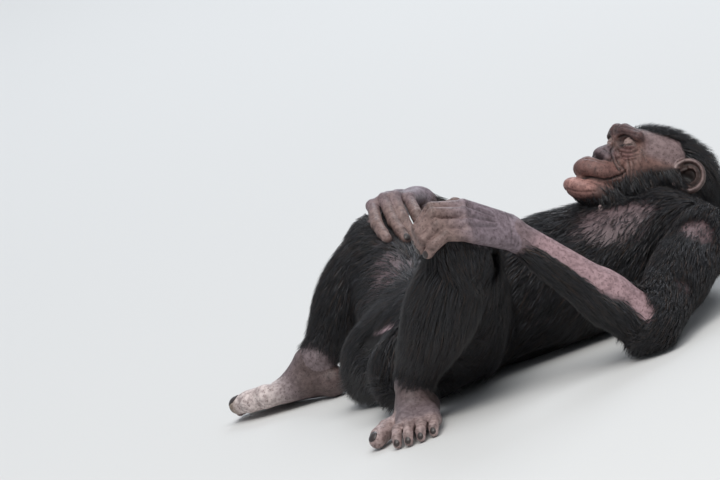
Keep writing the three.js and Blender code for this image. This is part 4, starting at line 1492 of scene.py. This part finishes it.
@dataclass
class Markings:
    """Where the skin is bare and how skin and hair are coloured, by place on the body."""

    parts: Sequence[Part]
    groin: tuple[Point, Point] = ((-90, 16, 129), (-71, -50, 143))
    breast: Point = (338, 88, 182)
    shoulder: Point = (434, 205, 143)
    arm: Point = (353, 314, 83)
    # shares of the hair that the bare places are without
    breast_bald: float = 0.78
    shoulder_bald: float = 0.85
    arm_bald: float = 0.6
    thigh_bald: float = 0.92
    # shares of brown tufts and of grey-blue tufts painted as the hair's sheen
    brown: float = 0.16
    grey: float = 0.035

    def __post_init__(self) -> None:
        """Numbers the parts by name."""
        self.number = {part.name: i for i, part in enumerate(self.parts)}

    def of(self, which: Array, *names: str) -> Array:
        """Which points belong to the named parts."""
        wanted = [i for name, i in self.number.items() if any(name.startswith(n) for n in names)]
        return np.isin(which, wanted)

    @staticmethod
    def spot(p: Array, centre: Point, radii: Point, soft: float = 0.5) -> Array:
        """A soft spot: 1 inside, 0 outside."""
        return 1 - ease(around(p, centre, radii), 1 - soft, 1 + soft)

    def both(self, p: Array, centre: Point, radii: Point) -> Array:
        """A soft spot and its mirror image."""
        x, y, z = centre
        return np.max([self.spot(p, (x, s * y, z), radii) for s in SIDES.values()], axis=0)

    @staticmethod
    def beard_line(u: Array) -> Array:
        """How far forward the cheek's hair reaches at a height, in the head's frame."""
        return np.interp(u, (-90, -84, -70, -50, -33, -12, 5, 12, 20), (116, 110, 97, 84, 72, 50, 20, 0, -16))

    def head_hair(self, p: Array) -> Array:
        """Where the head carries long hair: crown, back and cheeks."""
        h = HEAD.inward(p)
        l, u = h[:, 0], h[:, 2]
        crown = ease(u, 48, 58) * (1 - ease(l, 60, 70))
        back = ease(np.interp(u, (5, 20, 32, 48), (-14, -12, -4, 7)) - l, -3, 6)
        beard = ease(self.beard_line(u) - l, -24, 14) * (1 - ease(u, 14, 24))
        return np.maximum.reduce([crown, back, beard])

    def forearm_bare(self, p: Array, out: Array) -> Array:
        """The bare outer side of the forearms."""
        s = np.sign(p[:, 1])
        facing = out[:, 0] * 0.1 + out[:, 1] * s * 0.42 + out[:, 2] * 0.88
        return ease(facing, 0.28, 0.66)

    def chest_bare(self, p: Array) -> Array:
        """The thinly haired breast."""
        return self.both(p, self.breast, (84, 74, 52))

    def cover(self, p: Array, which: Array, out: Array) -> Array:
        """How thickly hair grows at points, from 0 to 1."""
        groin = 1 - ease(Taper(*self.groin, 14, 18).at(p), 4, 20)
        thick = np.ones(len(p))
        for names, bald in (
            (("trunk",), self.breast_bald * self.chest_bare(p)),
            (("trunk", "thigh"), groin),
            (("upper_arm", "trunk"), self.shoulder_bald * self.both(p, self.shoulder, (38, 40, 36))),
            (("upper_arm",), self.arm_bald * self.both(p, self.arm, (30, 26, 26))),
            (("forearm",), ease(self.forearm_bare(p, out), 0.05, 0.8)),
            (("thigh",), self.thigh_bald * self.thigh_bare(p, out)),
        ):
            thick *= np.where(self.of(which, *names), 1 - bald, 1)
        thick = np.where(self.of(which, "head"), self.head_hair(p), thick)
        thick = np.where(self.of(which, "palm", "foot", "ear", *FINGER_NAMES, *TOE_NAMES), 0, thick)
        for side in SIDES:
            for name, joint in (("shank", ANKLE[side]), ("forearm", WRIST[side])):
                thick *= np.where(self.of(which, f"{name}_{side}"), ease(off_joint(p, joint), 24, 50), 1)
        return thick

    def thigh_bare(self, p: Array, out: Array) -> Array:
        """The thinly haired inner side of the thighs."""
        s = np.sign(p[:, 1])
        facing = -out[:, 1] * s * 0.8 + out[:, 2] * 0.3 - out[:, 0] * 0.3
        return ease(facing, 0.25, 0.7) * (1 - ease(np.abs(p[:, 1]), 190, 300))

    def skin(self, p: Array, which: Array, out: Array) -> Array:
        """The skin's colour at points.

        Args:
            p: Points.
            which: Each point's part.
            out: The way out of the skin.

        Returns:
            Linear colours.
        """
        made = np.tile(Hide.UNDERFUR.light, (len(p), 1))

        def lay(mask: Array | float, colour: Hide, *names: str, chosen: Array | float = 1.0) -> None:
            """Lays a colour over what is there, on the named parts."""
            m = (mask * chosen * self.of(which, *names))[:, None]
            made[:] = made * (1 - m) + colour.light * m

        lay(self.chest_bare(p), Hide.CHEST, "trunk")
        lay(1 - ease(Taper(*self.groin, 6, 10).at(p), -1, 5), Hide.GROIN, "trunk")
        lay(self.both(p, self.shoulder, (42, 44, 40)), Hide.SHOULDER, "upper_arm", "trunk")
        lay(self.both(p, self.arm, (34, 30, 30)), Hide.SHOULDER, "upper_arm", "trunk")
        lay(self.thigh_bare(p, out), Hide.THIGH, "thigh")
        # the bare band painted darker towards its lower, down-facing edge and lighter where it faces up: painted shade
        # and painted light
        lay(ease(self.forearm_bare(p, out), 0.0, 0.3), Hide.FOREARM_LOW, "forearm")
        lay(ease(self.forearm_bare(p, out), 0.2, 1.0), Hide.FOREARM, "forearm")
        for side in SIDES:
            lay(1 - ease(off_joint(p, WRIST[side]), 26, 62), Hide.WRIST, "forearm")
            lay(1 - ease(off_joint(p, ANKLE[side]), 34, 64), Hide.FOOT, f"shank_{side}")
        lay(1.0, Hide.HAND, "palm", *FINGER_NAMES)
        lay(1.0, Hide.FOOT, "foot", *TOE_NAMES)
        below = [1 - ease(off_joint(p, np.subtract(ANKLE[side], (0, 0, 24))), 30, 70) for side in SIDES]
        lay(0.7 * np.max(below, axis=0), Hide.ANKLE, "foot")
        for part in self.parts:
            if part.name.startswith(FINGER_NAMES + TOE_NAMES):
                start, tip = part.spine[0], part.spine[3]
                share = (p - start) @ (tip - start) / ((tip - start) @ (tip - start))
                near = {"chosen": part.body.at(p) < 9}
                shade = Hide.FINGER if part.name.startswith(FINGER_NAMES) else Hide.TOE
                shade = Hide.BIG_TOE if part.name == "big_toe_right" else shade
                lay(ease(share, -0.25, 0.45), shade, part.name, "palm", "foot", **near)
                if part.name == "big_toe_right":
                    lay(ease(share, 0.9, 1.12), Hide.TIP, part.name, "palm", "foot", **near)
        self._face(p, lay)
        return made

    def _face(self, p: Array, lay: Callable[..., None]) -> None:
        """Lays the colours of the head and ears, with painted shade in the eye sockets and the ears' cups and a painted
        highlight on the ears' rims.
        """
        h = HEAD.inward(p)
        l, u = h[:, 0], h[:, 2]
        half = np.abs(h) * (0, 1, 0) + h * (1, 0, 1)
        for mask, colour in (
            (1.0, Hide.CHEEK),
            (ease(u, 4, 20) * (1 - ease(l, 52, 72)), Hide.TEMPLE),
            (ease(u, 26, 34) * ease(l, 58, 70), Hide.BROW),
            # painted shade in the hollow round the eye
            (1 - ease(around(half, (86, 27, 22), (16, 18, 14)), 0.8, 1.25), Hide.SOCKET),
            (self.spot(half, (107, 6, -5), (22, 22, 18), 0.3), Hide.NOSE),
            (ease(-u, 12, 26) * ease(l, 74, 96) * (1 - ease(-u, 48, 54)), Hide.UPPER_LIP),
            (ease(-u, 50, 54) * ease(l, 72, 92), Hide.LOWER_LIP),
            (ease(-u, 52, 56) * (1 - ease(l, 104, 122)), Hide.CHIN),
            (0.8 * self.spot(half, (84, 30, 4), (18, 15, 9), 0.4), Hide.POUCH),
            (self.head_hair(p), Hide.UNDERFUR),
        ):
            lay(mask, colour, "head")
        for side, s in SIDES.items():
            q = ear_place(s).inward(p)
            r = np.linalg.norm(q[:, :2], axis=1)
            lay(1.0, Hide.EAR, f"ear_{side}")
            # painted shade deep in the ear's cup
            lay(1 - ease(r, 6, 20), Hide.EAR_CUP, f"ear_{side}", chosen=q[:, 2] > -9)
            # painted highlight along the ear's rim
            lay(ease(q[:, 2], -2, 3) * ease(r, 18, 25), Hide.EAR_RIM, f"ear_{side}")

    def hair(self, which: Array, draws: Array) -> Array:
        """Each tuft's colour, with a few brown ones and a few grey-blue ones painted as the hair's sheen."""
        made = np.where((draws < self.brown)[:, None], Hide.HAIR_BROWN.light, Hide.HAIR.light)
        grey = self.of(which, "thigh", "trunk") & (draws > 1 - self.grey)
        # grey-blue tufts on thigh and trunk: painted highlight for the hair's sheen
        return np.where(grey[:, None], Hide.HAIR_GREY.light * 0.5, made)


@dataclass(frozen=True)
class Style:
    """How hair grows on one piece of the coat; lengths in millimetres."""

    parts: tuple[str, ...]
    density: float
    length: float
    width: float = 1.6
    lie: Callable[[Array, Array], Array] = field(default=lambda p, out: np.tile((-1.0, 0, 0), (len(p), 1)))
    hang: float = 0.35
    lift: float = 9.0
    shag: float = 0.22
    clump: float = 0.4
    span: tuple[float, float] = (-math.inf, math.inf)
    side: int = 0
    clear: bool = False
    rise: Callable[[Array], Array] = field(default=lambda p: np.ones(len(p)))
    trim: Callable[[Array], Array] = field(default=lambda p: np.ones(len(p)))


HANG = unit(np.array([-0.32, -0.06, -0.94]))  # down in the photograph
STEPS = 2  # bends of a tuft
RING_WIDTHS = (0.9, 0.85)
TUFT_FLAT = 0.32
CLUMP_SIZE = 9
TUFTS_AREA = 100  # square millimetres that a style's density counts tufts on
BELLY_START, CHEST_START = 78, 214


def towards(way: Point) -> Callable[[Array, Array], Array]:
    """Hair that lies one way."""
    return lambda p, out: np.tile(unit(np.array(way, float)), (len(p), 1))


def down_trunk(p: Array, out: Array) -> Array:
    """Trunk hair: towards the seat, outward and down the flanks."""
    s = np.sign(p[:, 1])
    return unit(np.stack([np.full(len(p), -1.0), 0.35 * s, np.full(len(p), -0.5)], axis=1))


def off_head(p: Array, out: Array) -> Array:
    """Head hair: back from the brow, down the nape, and down and back from the cheeks."""
    h = HEAD.inward(p)
    top = ease(h[:, 2], 20, 50)[:, None]
    nape = ease(-h[:, 0], 10, 40)[:, None]
    side = np.sign(h[:, 1])
    crown = np.stack([np.full(len(p), -1.0), 0.25 * side, np.full(len(p), -0.15)], axis=1)
    cheek = np.stack([np.full(len(p), -0.62), 0.12 * side, np.full(len(p), -0.78)], axis=1)
    back = np.stack([np.full(len(p), -0.5), 0.1 * side, np.full(len(p), -1.0)], axis=1)
    low = cheek * (1 - nape) + back * nape
    return unit(crown * top + low * (1 - top)) @ HEAD.axes.T


def crown_rise(p: Array) -> Array:
    """Hair stands off the crown and nape and lies flat on the cheeks."""
    return 0.35 + 1.45 * ease(HEAD.inward(p)[:, 2], 10, 48)


def head_trim(p: Array) -> Array:
    """Hair is cropped on the crown, full on the nape and long below the jaw."""
    h = HEAD.inward(p)
    crown = np.interp(h[:, 0], (-60, -20, 30, 60), (0.85, 0.62, 0.5, 0.4))
    share = ease(h[:, 2], 25, 50)
    return crown * share + 1.25 * (1 - share)


def ankle_trim(p: Array) -> Array:
    """Shank hair shortens towards the ankle."""
    off = np.min([off_joint(p, ANKLE[side]) for side in SIDES], axis=0)
    return 0.5 + 0.5 * ease(off, 50, 130)


@dataclass
class Coat:
    """The coat in pieces of closed, tapered, bent tufts rooted on the skin."""

    skin: Skin
    surface: Surface
    which: Array
    atlas: Atlas
    markings: Markings
    seed: int = 5024
    patch: float = 0.003

    def styles(self) -> dict[str, Style]:
        """Each piece's hair."""
        made = {
            "coat_seat": Style(
                ("trunk",), 14, 58, lie=down_trunk, hang=0.6, shag=0.3, lift=12, span=(-math.inf, BELLY_START)
            ),
            "coat_belly": Style(("trunk",), 13, 50, lie=down_trunk, span=(BELLY_START, CHEST_START)),
            "coat_head": Style(
                ("head",), 27, 42, 1.35, lie=off_head, hang=0.25, lift=15, rise=crown_rise, trim=head_trim
            ),
        }
        for side, s in SIDES.items():
            shoulder, elbow, wrist = (np.array(at[side], float) for at in (SHOULDER, ELBOW, WRIST))
            hip, knee, ankle = (np.array(at[side], float) for at in (HIP, KNEE, ANKLE))
            thigh = unit(np.array([*(knee - hip)[:2], 0.0])) * 0.75 + np.array([-0.2, 0, -0.8])
            made |= {
                f"coat_chest_{side}": Style(
                    ("trunk", "neck"), 13, 52, lie=down_trunk, shag=0.3, lift=11, span=(CHEST_START, math.inf), side=-s
                ),
                f"coat_upper_arm_{side}": Style((f"upper_arm_{side}",), 15, 50, lie=towards(elbow - shoulder)),
                f"coat_forearm_{side}": Style((f"forearm_{side}",), 17, 44, lie=towards(elbow - wrist)),
                f"coat_thigh_{side}": Style(
                    (f"thigh_{side}",), 15, 62, 1.7, lie=towards(thigh), hang=0.5, lift=12, clear=True
                ),
                f"coat_shank_{side}": Style(
                    (f"shank_{side}",), 20, 66, 1.7, lie=towards(ankle - knee), lift=15, clear=True, trim=ankle_trim
                ),
            }
        return made

    def build(self, material: bpy.types.Material) -> None:
        """Makes every piece of the coat."""
        corners = self.surface.points[self.surface.faces].astype(float)
        normal = np.cross(corners[:, 2] - corners[:, 0], corners[:, 3] - corners[:, 1])
        area = np.linalg.norm(normal, axis=1) / 2
        hands = Flesh([*self.skin.hands["left"], *self.skin.hands["right"]])
        middle = corners.mean(1)
        for number, (name, style) in enumerate(self.styles().items()):
            rng = np.random.default_rng(self.seed + number)
            chosen = self.markings.of(self.which, *style.parts)
            chosen &= (middle[:, 0] > style.span[0]) & (middle[:, 0] <= style.span[1])
            chosen &= (middle[:, 2] > 6) | (normal[:, 2] > 0)
            chosen &= style.side * middle[:, 1] >= 0
            faces = np.where(chosen)[0]
            count = int(area[faces].sum() / TUFTS_AREA * style.density)
            pick = rng.choice(faces, count, p=area[faces] / area[faces].sum())
            a, b = rng.random((2, count, 1))
            quad = corners[pick]
            roots = between(quad[:, 0], quad[:, 1], a) * (1 - b) + between(quad[:, 3], quad[:, 2], a) * b
            out = slope(self.skin.flesh.at, roots, 1.5)
            keep = rng.random(count) < self.markings.cover(roots, self.which[pick], out)
            keep &= (roots[:, 2] > 4) & ((out[:, 2] > -0.8) | (roots[:, 2] > 26))
            roots, out, part = roots[keep], out[keep], self.which[pick][keep]
            room = 0.35 + 0.65 * ease(hands.at(roots), 0, 45) if style.clear else np.ones(len(roots))
            room = np.minimum(room, 0.3 + 0.7 * self.markings.cover(roots, part, out))
            room = room * style.trim(roots)
            piece = self.grow(name, style, roots, out, part, room, rng)
            piece.data.materials.append(material)
            LOG.info("%s: %d tufts, %d faces", name, len(roots), len(piece.data.polygons))

    def grow(
        self, name: str, style: Style, roots: Array, out: Array, which: Array, room: Array, rng: np.random.Generator
    ) -> bpy.types.Object:
        """Grows one piece's tufts.

        Args:
            name: The piece's name.
            style: Its hair.
            roots: Where tufts leave the skin.
            out: The way out of the skin there.
            which: The part each root is on.
            room: A share of the full length for each root.
            rng: Seeded draws.

        Returns:
            The piece as one object.
        """
        count = len(roots)
        wave = np.sin(roots @ rng.normal(0, 0.02, (3, 3)) + rng.random(3) * 6)
        way = style.lie(roots, out) + style.shag * (rng.normal(0, 0.6, (count, 3)) + 0.8 * wave)
        way = unit(way - out * np.einsum("ij,ij->i", way, out)[:, None])
        length = style.length * rng.uniform(0.65, 1.2, count) * room
        tall = style.lift * rng.uniform(0.25, 1.15, count) * room * style.rise(roots)
        at = roots - out
        rows, ups = [at], [out]
        for step in range(1, STEPS + 1):
            share = step / STEPS
            at = at + way * (length / STEPS)[:, None]
            height = self.skin.flesh.at(at)
            up = slope(self.skin.flesh.at, at, 1.5)
            goal = tall * share ** 0.8 + 0.6
            fall = np.clip(height - goal, -30, 6)
            at = at - up * np.where(height < goal, fall, fall * 0.4)[:, None]
            at[:, 2] = np.maximum(at[:, 2], 1.5 + 2.5 * rng.random(count))
            rows.append(at)
            ups.append(up)
            way = way + HANG * style.hang / STEPS * 2
            way = unit(way - up * np.minimum(np.einsum("ij,ij->i", way, up), 0)[:, None])
        path, normals = np.stack(rows, 1), np.stack(ups, 1)
        path = self.clump(path, style.clump, rng)
        return self.mesh(name, style.width * np.minimum(1, 0.2 + room), path, normals, which, rng)

    def clump(self, path: Array, strength: float, rng: np.random.Generator) -> Array:
        """Draws the tips of neighbouring tufts together.

        Args:
            path: Points of each tuft from root to tip.
            strength: How far tips move towards their leader's.
            rng: Seeded draws.

        Returns:
            The gathered tufts.
        """
        leaders = np.sort(rng.choice(len(path), max(len(path) // CLUMP_SIZE, 1), replace=False))
        tree = KDTree(len(leaders))
        for i, leader in enumerate(leaders):
            tree.insert(path[leader, 0], i)
        tree.balance()
        lead = leaders[[tree.find(p)[1] for p in path[:, 0]]]
        share = np.linspace(0, 1, path.shape[1])[None, :, None] ** 1.4
        pull = strength * rng.uniform(0.4, 1.0, (len(path), 1, 1)) * share
        return path + (path[lead] - path) * pull

    def mesh(
        self, name: str, wide: Array, path: Array, normals: Array, which: Array, rng: np.random.Generator
    ) -> bpy.types.Object:
        """Turns tuft lines into closed, tapered solids with their unwrap and colour.

        Args:
            name: The piece's name.
            wide: Each tuft's width.
            path: Points of each tuft from root to tip.
            normals: The way out of the skin at them.
            which: The part each root is on.
            rng: Seeded draws.

        Returns:
            The piece as one object.
        """
        count = len(path)
        width = wide[:, None] * rng.uniform(0.7, 1.25, (count, 1)) * np.array(RING_WIDTHS)
        surface = spikes(path, normals, width, TUFT_FLAT)
        made = shown(surface, name)
        root = self.atlas.place(self.atlas.unroll(path[:, 0], which), which)
        spread = np.array([((i % 3) / 2 - 0.5, (i // 3) / STEPS - 0.5) for i in range(STEPS * 3 + 1)]) * self.patch
        places = (root[:, None] + spread[None]).reshape(-1, 2)
        set_unwrap(made, places[surface.faces], surface)
        colour = self.markings.hair(which, rng.random(count))
        # each tuft painted darker at its root and lighter at its tip, painted shade deep in the coat, times a random
        # tone of its own
        rows = np.linspace(0.75, 1.25, STEPS + 1)
        shade = rng.uniform(0.35, 2.2, (count, 1, 1)) * np.append(np.repeat(rows[:-1], 3), rows[-1])[:, None]
        set_tint(made, (colour[:, None] * shade).reshape(-1, 3))
        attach(made, "root")
        return made


@dataclass(frozen=True)
class FurFinish:
    """Long black hair with a cool sheen."""

    roughness: float = 0.44
    gloss: float = 0.6
    sheen: float = 0.05
    cells: float = 420
    shadow: tuple[float, ...] = (0.003, 0.003, 0.004, 1)

    def make(self) -> bpy.types.Material:
        """Makes the material."""
        paint = Paint("hair")
        strand = paint.band(paint.noise(self.cells, 2), 0.35, 0.7)
        paint.set(Base_Color=paint.mix(strand * 0.5, paint.tint(), self.shadow))
        paint.set(Roughness=self.roughness, Specular_IOR_Level=self.gloss, Sheen_Weight=self.sheen)
        return paint.material


@dataclass(frozen=True)
class NailFinish:
    """Dull dark nail."""

    roughness: float = 0.35
    cells: float = 500
    deep: float = 0.45

    def make(self) -> bpy.types.Material:
        """Makes the material."""
        paint = Paint("nail")
        mask = paint.band(paint.noise(self.cells, 2), 0.35, 0.7)
        colour = Hide.NAIL.light
        paint.set(Base_Color=paint.mix(mask, (*colour, 1), (*(colour * self.deep), 1)), Roughness=self.roughness)
        return paint.material


@dataclass(frozen=True)
class SkinFinish:
    """Bare skin: mottled, finely creased, slightly oily."""

    roughness: float = 0.38
    rougher: float = 0.25
    gloss: float = 0.4
    cloud: tuple[float, ...] = (0.36, 0.31, 0.31, 1)
    freckle: tuple[float, ...] = (0.3, 0.25, 0.24, 1)
    spots: float = 0.7
    relief: float = 0.0012
    relief_strength: float = 0.7

    def make(self) -> bpy.types.Material:
        """Makes the material."""
        paint = Paint("skin")
        cloud, fine, spots = paint.noise(130, 4), paint.noise(600, 3), paint.noise(330, 2, 0.4)
        mottled = paint.mix(paint.band(cloud, 0.4, 0.66) * self.spots, paint.tint(), self.cloud, "MULTIPLY")
        freckled = paint.mix(paint.band(spots, 0.6, 0.68) * self.spots, mottled, self.freckle, "MULTIPLY")
        height = paint.cells(420) * 0.6 + fine * 0.5 + cloud * 0.6
        paint.set(Base_Color=freckled, Specular_IOR_Level=self.gloss)
        paint.set(Roughness=self.roughness + paint.band(fine, 0.3, 0.7) * self.rougher)
        paint.set(Normal=paint.bump(height, self.relief, self.relief_strength))
        return paint.material


def placed(name: str, data: bpy.types.ID, axes: Array, at: Point = (0, 0, 0)) -> bpy.types.Object:
    """Adds a camera or lamp, its axes given as columns, at a place in metres."""
    made = bpy.data.objects.new(name, data)
    bpy.context.scene.collection.objects.link(made)
    matrix = np.eye(4)
    matrix[:3, :3], matrix[:3, 3] = axes, at
    made.matrix_world = Matrix(matrix.tolist())
    return made


@dataclass(frozen=True)
class View:
    """The photograph's own view: a long lens, tilted with the slope that the animal lies on."""

    right: Point = (0.9054, -0.2954, -0.3048)
    up: Point = (0.3391, 0.0716, 0.938)
    aim: Point = (-0.048, 0.060, 0.269)
    distance: float = 20.0
    width: float = 1.1748

    def build(self) -> None:
        """Makes the camera and sets it as the scene's."""
        camera = bpy.data.cameras.new("camera")
        camera.lens = camera.sensor_width * self.distance / self.width
        camera.clip_end = 200
        right, up = unit(np.array(self.right)), unit(np.array(self.up))
        back = unit(np.cross(right, up))
        axes = np.stack([right, unit(np.cross(back, right)), back], axis=1)
        scene = bpy.context.scene
        scene.camera = placed("camera", camera, axes, np.array(self.aim) + back * self.distance)


@dataclass(frozen=True)
class Studio:
    """A plain pale floor under soft light from above."""

    floor: Point = (0.62, 0.62, 0.605)
    floor_half: float = 30000.0
    sky: Point = (0.86, 0.91, 1.0)
    sky_strength: float = 0.5
    key_watts: float = 330.0
    rim_share: float = 0.45
    day_strength: float = 1.2
    day_angle: float = 50.0

    @staticmethod
    def facing(way: Array) -> Array:
        """Axes of a lamp that shines against a way."""
        back = unit(way)
        side = unit(np.cross((0.1, 1, 0.05), back))
        return np.stack([side, np.cross(back, side), back], axis=1)

    def lamp(self, name: str, at: Point, aim: Point, size: float, watts: float, tint: Point) -> None:
        """Adds one square soft lamp.

        Args:
            name: The lamp's name.
            at: Its place in metres.
            aim: What it points at.
            size: Length of its side.
            watts: Its power.
            tint: Its colour.
        """
        lamp = bpy.data.lights.new(name, "AREA")
        lamp.size, lamp.energy, lamp.color = size, watts, tint
        placed(name, lamp, self.facing(np.array(at, float) - np.array(aim, float)), at)

    def daylight(self, name: str, way: Point) -> None:
        """Adds even light from far above, with soft shadows."""
        lamp = bpy.data.lights.new(name, "SUN")
        lamp.energy, lamp.angle = self.day_strength, math.radians(self.day_angle)
        placed(name, lamp, self.facing(np.array(way, float)))

    def build(self) -> None:
        """Makes floor, sky and lamps."""
        half = self.floor_half
        corners = np.array([(-half, -half, 0), (half, -half, 0), (half, half, 0), (-half, half, 0)])
        material = bpy.data.materials.new("floor")
        material.use_nodes = True
        paint = material.node_tree.nodes["Principled BSDF"]
        paint.inputs["Base Color"].default_value = (*self.floor, 1)
        paint.inputs["Roughness"].default_value = 0.8
        shown(Surface(corners, np.array([[0, 1, 2, 3]])), "floor", material)
        world = bpy.data.worlds.new("sky")
        bpy.context.scene.world = world
        world.use_nodes = True
        background = world.node_tree.nodes["Background"]
        background.inputs["Color"].default_value = (*self.sky, 1)
        background.inputs["Strength"].default_value = self.sky_strength
        self.lamp("key", (-2.2, -4.4, 7.0), (0, 0, 0), 4.0, self.key_watts, (1, 0.97, 0.93))
        self.lamp("rim", (3.2, 5.5, 4.4), (0, 0, 0.2), 3.2, self.key_watts * self.rim_share, (0.86, 0.92, 1))
        self.daylight("day", (0.2, -0.3, 1))
        bpy.context.scene.view_settings.view_transform = "Standard"


def main() -> None:
    """Builds every sub-assembly in order."""
    logging.basicConfig(level=logging.INFO, format="%(message)s")
    View().build()
    Studio().build()
    skin = Skin()
    surface = skin.build()
    LOG.info("skin: %d points", len(surface.points))
    atlas, markings = Atlas(skin.parts), Markings(skin.parts)
    which = skin.flesh.nearest(surface.points[surface.faces].mean(1))
    point_part = np.zeros(len(surface.points), int)
    point_part[surface.faces.ravel()] = np.repeat(which, 4)
    out = slope(skin.flesh.at, surface.points, 1.0)
    tint = markings.skin(surface.points, point_part, out)
    dark = Relief(skin.parts).shape(surface, point_part, out)
    hide, fur = SkinFinish().make(), FurFinish().make()
    made = shown(surface, "skin", hide)
    set_unwrap(made, atlas.of_faces(surface, which), surface)
    # the skin's colour with painted shade in its creases and painted highlight on its ridges
    set_tint(made, tint * (1 - CREASE_SHADE * dark[:, None]))
    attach(made, "root")
    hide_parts(*[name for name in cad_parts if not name.startswith("closed_eye")])
    Lids().build(hide, fur)
    Nails(skin.parts).build(NailFinish().make())
    Nipples().build(hide, skin.flesh)
    Coat(skin, surface, which, atlas, markings).build(fur)


if __name__ == "__main__":
    main()
